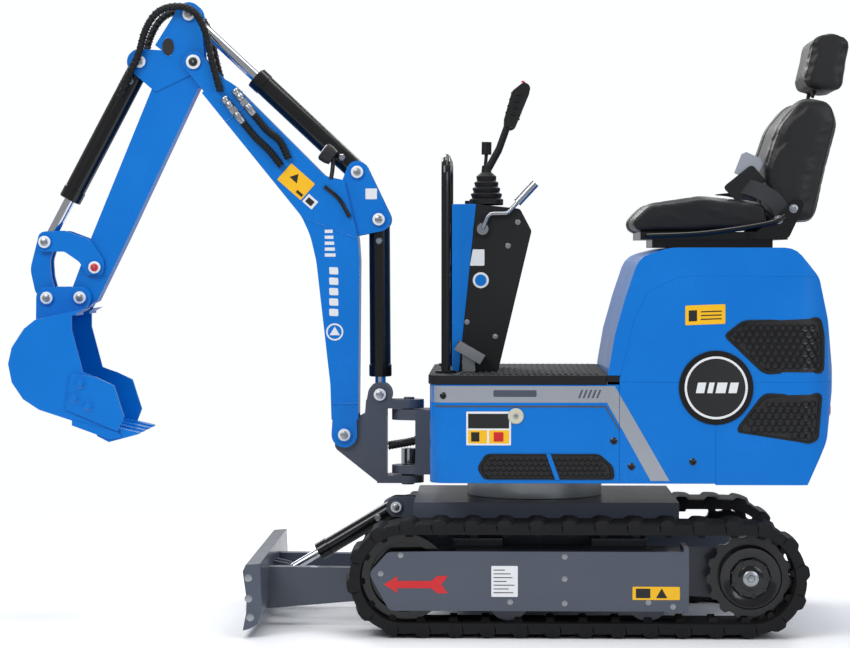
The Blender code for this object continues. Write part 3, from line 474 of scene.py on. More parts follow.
OUT = (("left", -1), ("right", 1))
for label, side in OUT:
    stripe = [(0.018, 0.622), (0.018, 0.666), (0.508, 0.666), (0.653, 0.414), (0.603, 0.414), (0.487, 0.622)]
    applied(
        "stripe_front_" + label, stripe[:3] + [(0.5195, 0.646), (0.5195, 0.565), (0.487, 0.622)], SILVER,
        "house", side
    )
    applied(
        "stripe_rear_" + label, [(0.5208, 0.6435), (0.653, 0.414), (0.603, 0.414), (0.5208, 0.5625)], SILVER,
        "house", side
    )
    thin = [(0.487, 0.609), (0.5195, 0.5535), (0.5195, 0.546), (0.482, 0.609)]
    applied(
        "stripe_line_" + label, [(0.030, 0.609), (0.030, 0.614), (0.484, 0.614), (0.487, 0.609)], SLATE,
        "house", side
    )
    applied("stripe_line_turn_" + label, thin, SLATE, "house", side)
    for k in range(5):
        x = 0.41 + 0.012 * k
        applied(
            f"stripe_bar_{k}_{label}",
            [(x, 0.634), (x + 0.005, 0.634), (x + 0.014, 0.656), (x + 0.009, 0.656)], SLATE, "house", side,
            base=0.4007, thickness=0.0005
        )
    applied(
        f"stripe_block_{label}",
        corners([(0.185, 0.637), (0.30, 0.637), (0.30, 0.655), (0.185, 0.655)], 0.004), SLATE, "house", side,
        base=0.4007, thickness=0.0005
    )

    vent = corners(
        [(0.147, 0.447), (0.170, 0.484), (0.462, 0.484), (0.499, 0.452), (0.502, 0.418), (0.165, 0.418)],
        0.012
    )
    honeycomb("front_vent_" + label, vent, 0.0155, "house", side)
    applied(
        "front_vent_bar_" + label, [(0.325, 0.486), (0.337, 0.486), (0.362, 0.416), (0.350, 0.416)], BLUE,
        "house", side, base=0.4030, thickness=0.0015
    )
    upper = corners(
        [(0.800, 0.800), (0.850, 0.838), (1.051, 0.846), (1.061, 0.800), (1.061, 0.703), (0.905, 0.703)],
        0.016
    )
    honeycomb("upper_vent_" + label, upper, 0.0195, "house", side)
    lower = corners(
        [(0.904, 0.642), (1.056, 0.644), (1.045, 0.527), (1.024, 0.516), (0.838, 0.545), (0.840, 0.560)],
        0.016
    )
    honeycomb("lower_vent_" + label, lower, 0.0195, "house", side)

    for name, outer, inner, material, base, lift in (
        ("ring", 0.0985, 0.0, BLACK, 0.4000, 0.0035), ("circle", 0.0835, 0.0775, WHITE, 0.4036, 0.0006),
        ("field", 0.0765, 0.0, INK_AND_PAINTED_SHADE, 0.4036, 0.0005),
    ):
        outline = [(
            0.776 + outer * math.cos(a * math.pi / 48), 0.662 + outer * math.sin(a * math.pi / 48)
        ) for a in range(96)]
        if inner:
            work_outline = ring_of((0.776, 0.662), outer, inner, 72)
            applied(
                f"badge_{name}_{label}", work_outline, material, "house", side, base=base, thickness=lift
            )
        else:
            applied(f"badge_{name}_{label}", outline, material, "house", side, base=base, thickness=lift)
    for k, (x0, x1) in enumerate(((0.722, 0.744), (0.752, 0.766), (0.774, 0.800), (0.808, 0.830))):
        applied(
            f"badge_bar_{k}_{label}", [(x0, 0.648), (x1, 0.648), (x1 + 0.006, 0.676), (x0 + 0.006, 0.676)],
            WHITE, "house", side, base=0.4042, thickness=0.0005
        )

    applied(
        "warning_top_" + label,
        corners([(0.694, 0.828), (0.800, 0.832), (0.800, 0.884), (0.694, 0.880)], 0.003), YELLOW, "house",
        side
    )
    applied(
        "warning_top_sign_" + label, [(0.703, 0.838), (0.725, 0.839), (0.725, 0.868), (0.703, 0.867)], INK_AND_PAINTED_SHADE,
        "house", side, base=0.4009, thickness=0.0004
    )
    for k in range(3):
        applied(
            f"warning_top_line_{k}_{label}",
            [
                (0.735, 0.842 + 0.010 * k), (0.790, 0.844 + 0.010 * k), (0.790, 0.847 + 0.010 * k),
                (0.735, 0.845 + 0.010 * k)
            ],
            INK_AND_PAINTED_SHADE, "house", side, base=0.4009, thickness=0.0004
        )
    applied(
        "warning_side_" + label,
        corners([(0.113, 0.508), (0.232, 0.508), (0.232, 0.598), (0.113, 0.598)], 0.003), WHITE, "house",
        side
    )
    for k, (x0, x1, z0, z1, material) in enumerate((
        (0.118, 0.168, 0.513, 0.548, YELLOW), (
            0.174, 0.227, 0.513, 0.548, YELLOW
        ), (0.118, 0.227, 0.553, 0.592, INK_AND_PAINTED_SHADE),
        (0.126, 0.148, 0.518, 0.543, INK_AND_PAINTED_SHADE), (0.186, 0.212, 0.518, 0.543, RED),
    )):
        applied(
            f"warning_side_{k}_{label}", [(x0, z0), (x1, z0), (x1, z1), (x0, z1)], material, "house", side,
            base=0.4009 + 0.0003 * (k > 2), thickness=0.0004
        )
    lathe(
        "filler_cap_" + label,
        [(-0.001, 0.021), (0.004, 0.021), (0.006, 0.019), (0.007, 0.012), (0.006, 0.010)],
        (0.245, side * 0.4, 0.586), (0, side, 0), CREAM, "house"
    )
    lathe(
        "filler_lock_" + label, [(0.005, 0.006), (0.009, 0.0055), (0.0095, 0.004)],
        (0.245, side * 0.4, 0.586), (0, side, 0), STEEL, "house", 24
    )
    for k, (x, z) in enumerate(((0.715, 0.465), (0.052, 0.640), (0.505, 0.520), (0.552, 0.452))):
        lathe(
            f"screw_{k}_{label}", [(-0.001, 0.0095), (0.0015, 0.0095), (0.0028, 0.007), (0.0018, 0.003)],
            (x, side * skin(x, z), z), (0, side, 0), BLACK, "house", 28
        )
    lathe(
        "rear_lamp_" + label, [(-0.004, 0.018), (0.006, 0.018), (0.009, 0.014), (0.010, 0.006)],
        (1.0775, side * 0.33, 0.60), (1, side * 0.25, 0), LENS, "house", 32
    )


# ---- Floor mat ribs ----

mat = bmesh.new()
for k in range(23):
    x0 = 0.095 + 0.0165 * k
    corners_low = [(x0, -0.36), (x0 + 0.008, -0.36), (x0 + 0.008, 0.36), (x0, 0.36)]
    low = [mat.verts.new((x, y, 0.6935)) for x, y in corners_low]
    high = [
        mat.verts.new((x + (0.001 if i in (0, 3) else -0.001), y, 0.6962)) for i,
        (x, y) in enumerate(corners_low)
    ]
    for i in range(4):
        mat.faces.new((low[i], low[(i + 1) % 4], high[(i + 1) % 4], high[i]))
    mat.faces.new(high)
put("mat_ribs", mesh_of("mat_ribs", mat, False), RUBBER, "house")


# ---- Levers: bellows grips, knobs, collars ----

for label, side in OUT:
    y = side * 0.085
    for k in range(4):
        z = 1.400 + 0.018 * k
        lathe(
            f"grip_ring_{k}_{label}", [(0, 0.0185), (0.002, 0.0215), (0.006, 0.0215), (0.008, 0.0185)],
            (0.237 + 0.0052 * k, y, z), (0.27, 0, 0.96), RUBBER, "house", 28
        )
    lathe(
        "stick_button_" + label, [(0, 0.006), (0.004, 0.006), (0.0055, 0.004)], (0.2665, y, 1.4905),
        (0.3, 0, 0.95), RED, "house", 24
    )
lathe(
    "blade_lever_boot", [(-0.002, 0.024), (0.004, 0.024), (0.006, 0.015), (0.012, 0.011)],
    (0.155, -0.1300, 1.086), (0, -1, 0), RUBBER, "house", 28
)
applied(
    "console_plate", corners([(0.120, 0.985), (0.160, 0.985), (0.160, 1.030), (0.128, 1.030)], 0.003), WHITE,
    "house", -1, base=0.1301
)
lathe(
    "console_badge", [(0, 0.022), (0.002, 0.022), (0.0025, 0.019)], (0.150, -0.130, 0.945), (0, -1, 0),
    WHITE, "house", 36
)
lathe(
    "console_badge_field", [(0.002, 0.016), (0.003, 0.016)], (0.150, -0.130, 0.945), (0, -1, 0), BLUE,
    "house", 36
)
for k, (x, z) in enumerate(((0.112, 0.83), (0.190, 0.79), (0.225, 1.04), (0.252, 1.105), (0.105, 0.72))):
    for label, side in OUT:
        bolt(f"console_bolt_{k}_{label}", (x, side * 0.130, z), (0, side, 0), 0.005, STEEL, "house")

applied(
    "hood_seal", [(0.4865, 0.677), (0.5195, 0.677), (0.5195, 0.6935), (0.4865, 0.6935)], RUBBER, "house", 1,
    base=-0.3985, thickness=0.797
)


# ---- Undercarriage: tracks, wheels, frame labels ----


def track_look(label, side):
    """Rubber track with rounded cross lugs outside and guide horns inside, following the CAD loop."""
    low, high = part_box("track_" + label)
    radius = (high.z - low.z) / 2
    front, rear, level = low.x + radius, high.x - radius, low.z + radius
    belt, straight = radius - 0.011, high.x - low.x - 2 * radius
    length = 2 * (straight + math.pi * belt)
    pitch = length / 32

    def at(along, reach):
        along %= length
        if along < straight:
            return front + along, level - reach
        if along < straight + math.pi * belt:
            a = (along - straight) / belt - math.pi / 2
            return rear + reach * math.cos(a), level + reach * math.sin(a)
        if along < 2 * straight + math.pi * belt:
            return rear - (along - straight - math.pi * belt), level + reach
        a = (along - 2 * straight - math.pi * belt) / belt + math.pi / 2
        return front + reach * math.cos(a), level + reach * math.sin(a)

    inner_y, outer_y = abs(high.y), abs(low.y)
    inner_y, outer_y = min(inner_y, outer_y), max(inner_y, outer_y)
    work = bmesh.new()
    across = [
        inner_y, inner_y + 0.004, inner_y + 0.05, (inner_y + outer_y) / 2, outer_y - 0.05, outer_y - 0.004,
        outer_y
    ]
    edge = [0.010, 0.004, 0.001, 0.0, 0.001, 0.004, 0.010]
    profile = []
    for k in range(32):
        for part, lift in (
            (0.0, 0.0), (0.20, 0.0), (0.245, 0.0015), (0.335, 0.0085), (0.37, 0.0105), (0.50, 0.011),
            (0.63, 0.0105), (0.665, 0.0085), (0.755, 0.0015), (0.80, 0.0),
        ):
            profile.append(((k + part) * pitch, lift))
    rows = []
    for along, lift in profile:
        row = []
        for y, drop in zip(across, edge):
            shear = 0.006 * math.cos(math.pi * (y - inner_y) / (outer_y - inner_y) * 2)
            reach = belt + lift - (drop if lift > 0.001 else drop * 0.3)
            x, z = at(along + (shear if lift > 0.001 else 0.0), reach)
            row.append(work.verts.new((x, side * y, z)))
        for y in (across[-1], across[0]):
            x, z = at(along, belt - 0.0295)
            row.append(work.verts.new((x, side * y, z)))
        rows.append(row)
    for row, after in zip(rows, rows[1:] + rows[:1]):
        for a in range(len(row)):
            b = (a + 1) % len(row)
            work.faces.new((row[a], row[b], after[b], after[a]))
    made = put(
        "track_look_" + label, mesh_of("track_look_" + label, work), TRACK, "undercarriage"
    )
    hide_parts("track_" + label)
    horns = bmesh.new()
    middle = (inner_y + outer_y) / 2
    for k in range(32):
        for shift in (-0.036, 0.036):
            base, tip = [], []
            for dx, dy in ((-0.010, -0.009), (0.010, -0.009), (0.010, 0.009), (-0.010, 0.009)):
                x, z = at((k + 0.5) * pitch + dx * 1.3, belt - 0.029)
                base.append(horns.verts.new((x, side * (middle + shift + dy), z)))
                x, z = at((k + 0.5) * pitch + dx * 0.9, belt - 0.041)
                tip.append(horns.verts.new((x, side * (middle + shift + dy * 0.5), z)))
            for a in range(4):
                horns.faces.new((base[a], base[(a + 1) % 4], tip[(a + 1) % 4], tip[a]))
            horns.faces.new(tip)
    put("track_horns_" + label, mesh_of("track_horns_" + label, horns, False), TRACK, "undercarriage")


for label, side in OUT:
    track_look(label, side)
    hub = (0.8665, side * 0.4283, 0.158)
    lathe(
        "hub_ring_" + label,
        [(-0.020, 0.083), (-0.006, 0.0835), (-0.003, 0.080), (-0.0035, 0.060), (-0.009, 0.052)], hub,
        (0, side, 0), BLACK, "undercarriage", 64
    )
    lathe(
        "hub_plate_" + label, [(-0.004, 0.034), (0.002, 0.034), (0.004, 0.030), (0.0045, 0.020)], hub,
        (0, side, 0), BLACK, "undercarriage", 48
    )
    lathe(
        "hub_cap_" + label,
        [(0.0, 0.021), (0.007, 0.021), (0.009, 0.018), (0.0095, 0.010), (0.013, 0.008), (0.014, 0.004)], hub,
        (0, side, 0), STEEL, "undercarriage", 48
    )
    for k in range(9):
        a = 2 * math.pi * k / 9
        place = (hub[0] + 0.046 * math.cos(a), hub[1] - side * 0.0035, hub[2] + 0.046 * math.sin(a))
        bolt(f"hub_bolt_{k}_{label}", place, (0, side, 0), 0.0056, BLACK, "undercarriage")
    lathe(
        "idler_hub_" + label, [(-0.012, 0.040), (0.002, 0.038), (0.006, 0.030), (0.008, 0.012)],
        (-0.0504, side * 0.4175, 0.158), (0, side, 0), CASTING, "undercarriage", 48
    )
    arrow = [(0.070, 0.138), (0.108, 0.161), (0.104, 0.1475), (0.196, 0.1475), (0.212, 0.161),
             (0.240, 0.161), (0.223, 0.138),
             (0.240, 0.115), (0.212, 0.115), (0.196, 0.1285), (0.104, 0.1285), (0.108, 0.115)]
    applied(
        "arrow_" + label, [(x - 0.175, z + 0.004) for x, z in arrow], RED, "undercarriage", side,
        base=0.4502
    )
    applied(
        "frame_plate_" + label,
        corners([(0.180, 0.110), (0.250, 0.110), (0.250, 0.192), (0.180, 0.192)], 0.003), WHITE,
        "undercarriage", side, base=0.4502
    )
    for k in range(7):
        z = 0.120 + 0.010 * k
        width = (0.052, 0.040, 0.055, 0.034, 0.050, 0.045, 0.030)[k]
        applied(
            f"frame_plate_line_{k}_{label}",
            [(0.186, z), (0.186 + width, z), (0.186 + width, z + 0.0022), (0.186, z + 0.0022)], INK_AND_PAINTED_SHADE,
            "undercarriage", side, base=0.4510, thickness=0.0004
        )
    applied(
        "frame_label_" + label,
        corners([(0.553, 0.103), (0.678, 0.103), (0.678, 0.138), (0.553, 0.138)], 0.003), YELLOW,
        "undercarriage", side, base=0.4502
    )
    applied(
        "frame_label_sign_" + label, [(0.562, 0.108), (0.600, 0.108), (0.600, 0.133), (0.562, 0.133)], INK_AND_PAINTED_SHADE,
        "undercarriage", side, base=0.4511, thickness=0.0004
    )
    applied(
        "frame_label_mark_" + label, [(0.615, 0.108), (0.645, 0.108), (0.630, 0.134)], INK_AND_PAINTED_SHADE, "undercarriage",
        side, base=0.4511, thickness=0.0004
    )
    for k, (x, z) in enumerate((
        (0.374, 0.217), (0.374, 0.158), (0.374, 0.093), (-0.060, 0.220), (-0.113, 0.171), (0.660, 0.085),
        (0.230, 0.0963), (0.595, 0.0963)
    )):
        bolt(f"frame_bolt_{k}_{label}", (x, side * 0.450, z), (0, side, 0), 0.0052, STEEL, "undercarriage")
    for k, z in enumerate((0.055, 0.105, 0.160)):
        bolt(
            f"blade_bolt_{k}_{label}", (-0.463 if k else -0.458, side * 0.4645, z), (0, side, 0), 0.007,
            STEEL, "blade"
        )
for k, (x, y) in enumerate(((
    0.30 + 0.155 * math.cos(a * math.pi / 12), 0.155 * math.sin(a * math.pi / 12)
) for a in range(24))):
    bolt(
        f"slew_bolt_{k}", (x + 0.014 * math.cos(k * math.pi / 12), y * 1.09, 0.3449), (0, 0, 1), 0.0065,
        STEEL, "undercarriage"
    )


# ---- Front end: pins, fittings, arm hoses ----


def pin_end(name, pin, level, body, middle=STEEL, size=0.017):
    """The washer, end and grease point of a pin, on both sides."""
    for label, side in OUT:
        place = (pin[0], side * level, pin[1])
        lathe(
            f"{name}_washer_{label}",
            [(-0.001, size), (0.0022, size), (0.003, size * 0.93), (0.003, size * 0.55)], place,
            (0, side, 0), WHITE, body, 40
        )
        lathe(
            f"{name}_end_{label}", [(0.0, size * 0.62), (0.005, size * 0.62), (0.0062, size * 0.5)], place,
            (0, side, 0), middle, body, 32
        )
        lathe(
            f"{name}_grease_{label}", [(0.005, 0.0028), (0.008, 0.0028), (0.009, 0.0018)], place,
            (0, side, 0), STEEL, body, 12
        )


pin_end("boom_foot", (-0.231, 0.513), 0.0625, "boom")
pin_end("arm_pivot", (-0.651, 1.552), 0.0625, "boom", CASTING, 0.020)
pin_end("arm_base", (-0.195, 1.246), 0.0525, "boom")
pin_end("boom_base", (-0.135, 1.114), 0.0525, "boom")
pin_end("arm_eye", (-0.665, 1.685), 0.0495, "arm")
pin_end("bucket_base", (-0.803, 1.554), 0.0495, "arm")
pin_end("guide_arm", (-0.929, 0.980), 0.0595, "guide_link", RED)
pin_end("knuckle_pin", (-1.069, 1.051), 0.0595, "guide_link")
pin_end("link_pin", (-1.061, 0.895), 0.0765, "bucket")
pin_end("bucket_pin", (-0.968, 0.896), 0.0765, "bucket")
pin_end("boom_eye", (-0.132, 0.625), 0.0495, "swing_bracket")
pin_end("blade_base", (-0.087, 0.310), 0.0445, "undercarriage", size=0.015)
pin_end("blade_eye", (-0.400, 0.122), 0.0445, "blade", size=0.015)
for label, side in OUT:
    for k, (x, z) in enumerate(((-0.949, 0.663), (-0.966, 0.622), (-0.928, 0.600))):
        bolt(f"cutter_bolt_{k}_{label}", (x, side * 0.1975, z), (0, side, 0), 0.0115, BLUE, "bucket")


def gland(name, base, eye, end, radius, body):
    """The threaded cap and wiper at a cylinder's mouth, and the port block at its base."""
    along = Vector((eye[0] - base[0], 0, eye[1] - base[1])).normalized()
    place = Vector((base[0], 0, base[1])) + along * end
    profile = [
        (-0.034, radius + 0.0002), (-0.033, radius + 0.0022), (-0.002, radius + 0.0022),
        (-0.0005, radius + 0.0006)
    ]
    lathe(name + "_gland", profile, place, along, BLACK, body, 48)
    port = Vector((base[0], 0, base[1])) + along * 0.060
    out = Vector((0, -1, 0))
    lathe(
        name + "_port", [(radius - 0.004, 0.0105), (radius + 0.010, 0.0105), (radius + 0.012, 0.008)], port,
        out, STEEL, body, 6
    )


gland("arm_cylinder", (-0.195, 1.246), (-0.665, 1.685), 0.392, 0.0295, "arm_cylinder")
gland("boom_cylinder", (-0.135, 1.114), (-0.132, 0.625), 0.440, 0.0295, "boom_cylinder")
gland("bucket_cylinder", (-0.803, 1.554), (-1.069, 1.051), 0.435, 0.0295, "bucket_cylinder")
gland("blade_cylinder", (-0.087, 0.310), (-0.400, 0.122), 0.255, 0.024, "blade_cylinder")

HOSE_POINTS = [
    (-0.575, 0.0680, 1.470), (-0.598, 0.0690, 1.555), (-0.618, 0.0715, 1.640), (-0.650, 0.0735, 1.692),
    (-0.700, 0.0740, 1.705),
    (-0.750, 0.0730, 1.688), (-0.783, 0.0700, 1.640), (-0.803, 0.0640, 1.575), (-0.828, 0.0610, 1.520),
    (-0.8590, 0.0420, 1.450),
]
for label, side in OUT:
    points = [(x, side * y, z) for x, y, z in HOSE_POINTS]
    path = smooth_path(points, 60)
    bend = ("boom", "arm", (-0.600, 0, 1.50), (-0.735, 0, 1.66))
    made = hose("arm_hose_look_" + label, path, 0.0092, RUBBER, bend)
    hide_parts("arm_hose_" + label)
    wound("arm_hose_guard_" + label, points, 0.0092, 0.0085, bend)


# ---- Boom and arm: markings, weld bands, hose fittings ----

for label, side in OUT:
    for k in range(5):
        z = 1.010 + 0.0165 * k
        wide = 0.030 - 0.002 * k
        applied(
            f"boom_bar_{k}_{label}",
            [(-0.285, z), (-0.285 + wide, z), (-0.285 + wide, z + 0.009), (-0.285, z + 0.009)], WHITE,
            "boom", side, base=0.0566
        )
    for k in range(5):
        z = 0.845 + 0.029 * k
        block = [(-0.272, z), (-0.247, z - 0.001), (-0.248, z + 0.019), (-0.273, z + 0.020)]
        applied(f"boom_block_{k}_{label}", corners(block, 0.004), WHITE, "boom", side, base=0.0566)
    ring = ring_of((-0.2575, 0.800), 0.024, 0.0195, 40)
    applied("boom_ring_" + label, ring, WHITE, "boom", side, base=0.0566)
    applied(
        "boom_ring_mark_" + label, [(-0.272, 0.791), (-0.243, 0.791), (-0.2575, 0.815)], WHITE, "boom", side,
        base=0.0566
    )

    label_box = [(-0.418, 1.225), (-0.352, 1.167), (-0.312, 1.212), (-0.378, 1.270)]
    applied("boom_label_" + label, corners(label_box, 0.003), YELLOW, "boom", side, base=0.0566)
    applied(
        "boom_label_mark_" + label, [(-0.383, 1.232), (-0.363, 1.214), (-0.358, 1.240)], INK_AND_PAINTED_SHADE, "boom", side,
        base=0.0575, thickness=0.0004
    )
    applied(
        "boom_label_line_" + label, [(-0.366, 1.190), (-0.350, 1.176), (-0.345, 1.182), (-0.361, 1.196)],
        INK_AND_PAINTED_SHADE, "boom", side, base=0.0575, thickness=0.0004
    )
    plate = [(-0.348, 1.164), (-0.322, 1.141), (-0.303, 1.162), (-0.329, 1.185)]
    applied("boom_plate_" + label, corners(plate, 0.002), WHITE, "boom", side, base=0.0566)
    applied(
        "boom_plate_mark_" + label,
        corners([(-0.340, 1.164), (-0.324, 1.150), (-0.313, 1.162), (-0.329, 1.176)], 0.002), INK_AND_PAINTED_SHADE, "boom",
        side, base=0.0575, thickness=0.0004
    )
    applied(
        "lug_label_" + label,
        corners([(-0.172, 1.170), (-0.140, 1.170), (-0.140, 1.200), (-0.172, 1.200)], 0.002), WHITE, "boom",
        side, base=0.0446
    )

    for k, (start, end) in enumerate((
        ((-0.268, 0.600), (-0.192, 0.600)), ((-0.345, 1.118), (-0.200, 1.062)),
        ((-0.560, 1.385), (-0.490, 1.440))
    )):
        bead = [(
            start[0] + (end[0] - start[0]) * t / 24, side * 0.0566,
            start[1] + (end[1] - start[1]) * t / 24 + 0.0007 * (t % 2)
        ) for t in range(25)]
        hose(f"weld_{k}_{label}", bead, 0.0022, BLUE, "boom")
    oval = [(
        -0.723 + 0.018 * math.cos(a * math.pi / 16), 1.595 + 0.026 * math.sin(a * math.pi / 16)
    ) for a in range(32)]
    applied("arm_oval_" + label, oval, INK_AND_PAINTED_SHADE, "arm", side, base=0.0426, thickness=0.0003)
    rim = [(x, side * 0.0428, z) for x, z in oval + oval[:1]]
    hose("arm_oval_rim_" + label, rim, 0.0016, BLUE, "arm")

    for k in range(2):
        along = Vector((0.62, 0, -0.78))
        level = side * 0.0685
        origin = Vector((-0.566 + 0.030 * k, level, 1.452 + 0.022 * k))
        lathe(
            f"crimp_{k}_{label}",
            [
                (0, 0.0098), (0.003, 0.0112), (0.010, 0.0112), (0.012, 0.0100), (0.020, 0.0100),
                (0.022, 0.0112), (0.034, 0.0112), (0.037, 0.0092)
            ],
            origin, along, STEEL, "boom", 32
        )
        lathe(
            f"crimp_nut_{k}_{label}", [(0, 0.0120), (0.016, 0.0120)], origin + along * 0.038, along, STEEL,
            "boom", 6
        )
        lathe(
            f"crimp_end_{k}_{label}", [(0, 0.0098), (0.004, 0.0112), (0.030, 0.0112), (0.034, 0.0092)],
            origin + along * 0.055, along, STEEL, "boom", 32
        )
        last = origin + along * 0.088
        run = [
            last, last + Vector((0.035, 0, -0.042)), last + Vector((0.070, 0, -0.075 + 0.004 * k)),
            Vector((-0.405 + 0.02 * k, level, 1.262 + 0.02 * k))
        ]
        hose(f"boom_hose_{k}_{label}", smooth_path(run, 24), 0.0085, RUBBER, "boom", 0.0085)
    clamp = [(-0.285, side * 0.060, 1.205), (-0.245, side * 0.060, 1.170), (-0.215, side * 0.060, 1.120)]
    hose(f"boom_pipe_{label}", smooth_path(clamp, 20), 0.006, BLACK, "boom")
lathe(
    "boom_lamp", [(0, 0.022), (0.012, 0.026), (0.030, 0.027), (0.034, 0.024)], (-0.262, -0.050, 1.285),
    (-0.7, 0, 0.5), CASTING, "boom", 32
)
lathe(
    "boom_lamp_lens", [(0.0335, 0.022), (0.036, 0.020), (0.0365, 0.010)], (-0.262, -0.050, 1.285),
    (-0.7, 0, 0.5), WHITE, "boom", 32
)
hose(
    "boom_lamp_bracket", [(-0.262, -0.050, 1.285), (-0.262, -0.052, 1.255), (-0.268, -0.054, 1.225)], 0.006,
    CASTING, "boom"
)

# Hoses from the house through the swing bracket to the boom
for k in range(4):
    level = -0.030 + 0.020 * k
    run = [
        (0.010, level, 0.500 + 0.008 * (k % 2)), (-0.050, level * 1.1, 0.490), (-0.108, level * 1.25, 0.480)
    ]
    hose(
        f"swing_hose_{k}", smooth_path(run, 20), 0.0085, RUBBER,
        ("house", "swing_bracket", (-0.02, 0, 0.5), (-0.09, 0, 0.5)), 0.0085
    )


# ---- Guard, pedals, joints of the seat, belt ----

for label, side in OUT:
    for k in range(6):
        x = 0.090 + 0.011 * k
        z = 0.7765 - 0.0060 * k
        lathe(
            f"pedal_rib_{k}_{label}", [(-0.030, 0.0028), (0.030, 0.0028)], (x, side * 0.180, z), (0, 1, 0),
            RUBBER, "house", 12
        )
    bar = [
        (0.600, side * 0.232, 1.066), (0.760, side * 0.232, 1.074), (0.930, side * 0.232, 1.100),
        (0.975, side * 0.232, 1.120)
    ]
    hose("seat_rail_" + label, smooth_path(bar, 24), 0.007, BLACK, "hood")
    for k, (x, z) in enumerate(((0.958, 1.110), (0.998, 1.140))):
        bolt(f"seat_bolt_{k}_{label}", (x, side * 0.228, z), (0, side, 0), 0.008, STEEL, "hood")


def strap(name, path, width, thickness, material, body, normal):
    """Flat webbing along a path, its face turned to `normal`."""
    work = bmesh.new()
    rows = []
    path = smooth_path(path, 30)
    for i, centre in enumerate(path):
        along = (path[min(i + 1, 29)] - path[max(i - 1, 0)]).normalized()
        across = along.cross(Vector(normal)).normalized()
        up = across.cross(along).normalized()
        row = [
            work.verts.new(centre + across * width / 2 * s + up * thickness / 2 * t) for s,
            t in ((-1, -1), (1, -1), (1, 1), (-1, 1))
        ]
        rows.append(row)
    for row, after in zip(rows, rows[1:]):
        for a in range(4):
            work.faces.new((row[a], row[(a + 1) % 4], after[(a + 1) % 4], after[a]))
    work.faces.new(rows[0][::-1])
    work.faces.new(rows[-1])
    return put(name, mesh_of(name, work), material, body)


strap(
    "belt_left",
    [(0.975, -0.222, 1.115), (0.950, -0.221, 1.160), (0.905, -0.200, 1.190), (0.860, -0.170, 1.205)], 0.045,
    0.003, WEBBING, "hood", (0, -1, 0.2)
)
strap(
    "belt_right",
    [(0.975, 0.222, 1.115), (0.935, 0.215, 1.165), (0.880, 0.150, 1.183), (0.830, 0.050, 1.186)], 0.045,
    0.003, WEBBING, "hood", (0, 0.2, 1)
)
tongue = bmesh.new()
shape = [(0.842, 1.238), (0.862, 1.290), (0.875, 1.296), (0.915, 1.278), (0.920, 1.262), (0.898, 1.215)]
for y in (-0.170, -0.167):
    tongue.faces.new([tongue.verts.new((x, y, z)) for x, z in shape])
tongue.verts.ensure_lookup_table()
for a in range(6):
    b = (a + 1) % 6
    tongue.faces.new((tongue.verts[a], tongue.verts[b], tongue.verts[6 + b], tongue.verts[6 + a]))
put("belt_tongue", mesh_of("belt_tongue", tongue, False), SILVER, "hood")
applied(
    "belt_buckle", corners([(0.812, 1.200), (0.850, 1.160), (0.930, 1.215), (0.890, 1.262)], 0.012), PLASTIC,
    "hood", -1, base=0.160, thickness=0.020
)


# ---- Seat: padded vinyl, swollen from the plain shapes by pressure ----

SHRINK = 0.965  # of the plain shape, so that the swollen one stays inside its box
VOXEL = 0.006
SEAM_WIDTH = 0.0055
SEAM_DEPTH = 0.0075
CROWN = 0.005  # height of the bolsters outside the seams
CROWN_WIDTH = 0.07


def cushion(node, cap, channels, across):
    """A padded piece in its CAD solid's place, with sewn channels at the given places along one axis."""
    low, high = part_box(node)
    work = bmesh.new()
    work.from_mesh(NODES[node].data)
    bmesh.ops.remove_doubles(work, verts=work.verts, dist=2e-5)
    middle = (low + high) / 2
    for vertex in work.verts:
        vertex.co = middle + (vertex.co - middle) * SHRINK
    mesh = bpy.data.meshes.new(node + "_look")
    work.to_mesh(mesh)
    work.free()
    made = bpy.data.objects.new(node + "_look", mesh)
    scene.collection.objects.link(made)
    remesh = made.modifiers.new("voxels", "REMESH")
    remesh.mode = "VOXEL"
    remesh.voxel_size = VOXEL
    graph = bpy.context.evaluated_depsgraph_get()
    made.data = bpy.data.meshes.new_from_object(made.evaluated_get(graph))
    made.modifiers.clear()
    start = [v.co.copy() for v in made.data.vertices]
    cloth = made.modifiers.new("cloth", "CLOTH")
    cloth.settings.use_pressure = True
    cloth.settings.uniform_pressure_force = 4
    cloth.settings.effector_weights.gravity = 0
    cloth.settings.quality = 5
    for moment in range(1, 21):
        scene.frame_set(moment)
    graph = bpy.context.evaluated_depsgraph_get()
    swollen = made.evaluated_get(graph)
    ends = [v.co.copy() for v in swollen.data.vertices]
    made.modifiers.clear()
    for vertex, begin, end in zip(made.data.vertices, start, ends):
        move = end - begin
        vertex.co = begin + (move if move.length < cap else move.normalized() * cap)
    scene.frame_set(1)
    size = high - low
    for vertex in made.data.vertices:
        place = vertex.co
        depth = 0.0
        for value in channels:
            depth = max(depth, math.exp(-((abs(place[across]) - value) / SEAM_WIDTH) ** 2))
        if across == 1 and abs(place.y) < size.y * 0.47:
            place -= vertex.normal * depth * SEAM_DEPTH
            if abs(place.y) > channels[0]:
                place += vertex.normal * CROWN * math.sin(min(
                    (abs(place.y) - channels[0]) / CROWN_WIDTH, 1
                ) * math.pi)
    sub = made.modifiers.new("smooth", "SUBSURF")
    sub.levels = sub.render_levels = 1
    made.data.materials.clear()
    made.data.materials.append(VINYL)
    for face in made.data.polygons:
        face.use_smooth = True
    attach(made, "hood")
    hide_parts(node)
    return made


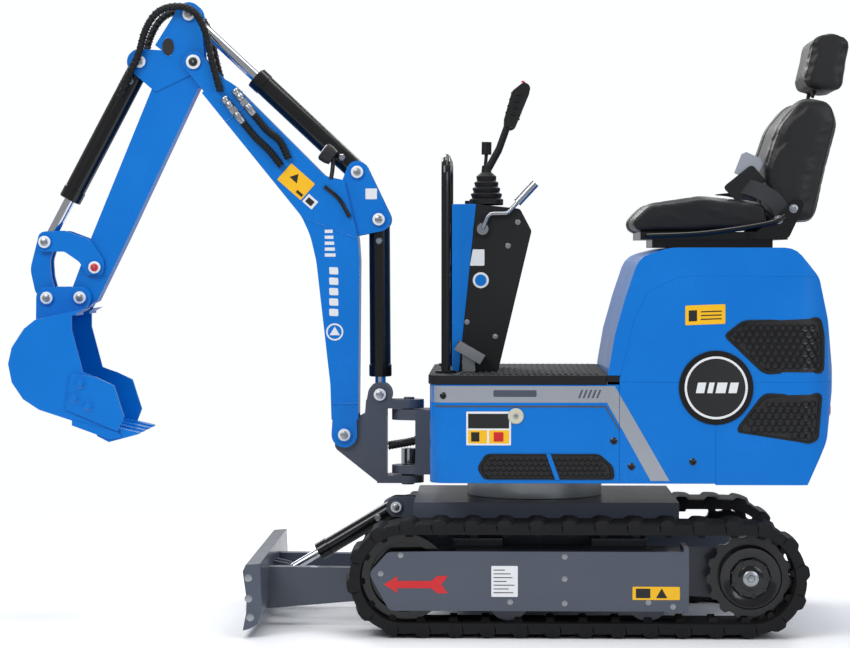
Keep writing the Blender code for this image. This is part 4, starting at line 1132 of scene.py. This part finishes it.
cushion("seat_cushion", 0.0035, (0.125,), 1)
cushion("seat_back", 0.0035, (0.125,), 1)
cushion("headrest", 0.003, (0.300,), 1)


# ---- Studio: a pale round floor, a white surround, and soft lights on every side ----

studio = bmesh.new()
bmesh.ops.create_circle(studio, cap_ends=True, radius=3.2, segments=96)
floor_mesh = bpy.data.meshes.new("floor")
studio.to_mesh(floor_mesh)
studio.free()
floor = bpy.data.objects.new("floor", floor_mesh)
floor_mesh.materials.append(surface("pale_floor", "#f6f7f8", 0.75, tint="#f3f4f6", gloss=0.2))
scene.collection.objects.link(floor)


def soft_light(name, place, target, width, height, power, colour="#ffffff"):
    data = bpy.data.lights.new(name, "AREA")
    data.shape = "RECTANGLE"
    data.size = width
    data.size_y = height
    data.energy = power
    data.color = linear(colour)[:3]
    lamp = bpy.data.objects.new(name, data)
    lamp.location = place
    lamp.rotation_euler = (Vector(target) - Vector(place)).to_track_quat("-Z", "Y").to_euler()
    scene.collection.objects.link(lamp)


soft_light("key", (-2.4, -4.2, 4.2), (0, 0, 0.7), 3.0, 2.2, 210)
soft_light("fill", (3.6, -4.0, 2.4), (0.2, 0, 0.7), 2.6, 2.2, 90, "#f2f6ff")
soft_light("top", (0.2, 0.2, 4.6), (0.1, 0, 0.5), 3.6, 2.6, 150)
soft_light("back", (-1.8, 4.2, 3.6), (0, 0, 0.6), 3.0, 2.2, 150)
soft_light("rim", (2.2, 3.0, 3.0), (0, 0, 0.9), 2.0, 1.6, 90)
world = bpy.data.worlds.new("studio")
world.use_nodes = True
path = add(world, "ShaderNodeLightPath").outputs["Is Camera Ray"]
level = add(world, "ShaderNodeMapRange", {"To Min": 0.55, "To Max": 1.5}, {"Value": path}).outputs["Result"]
world.node_tree.nodes["Background"].inputs["Color"].default_value = linear("#f4f6f9")
world.node_tree.links.new(level, world.node_tree.nodes["Background"].inputs["Strength"])
scene.world = world
scene.view_settings.view_transform = "Standard"
scene.view_settings.look = "None"
scene.view_settings.exposure = -0.45
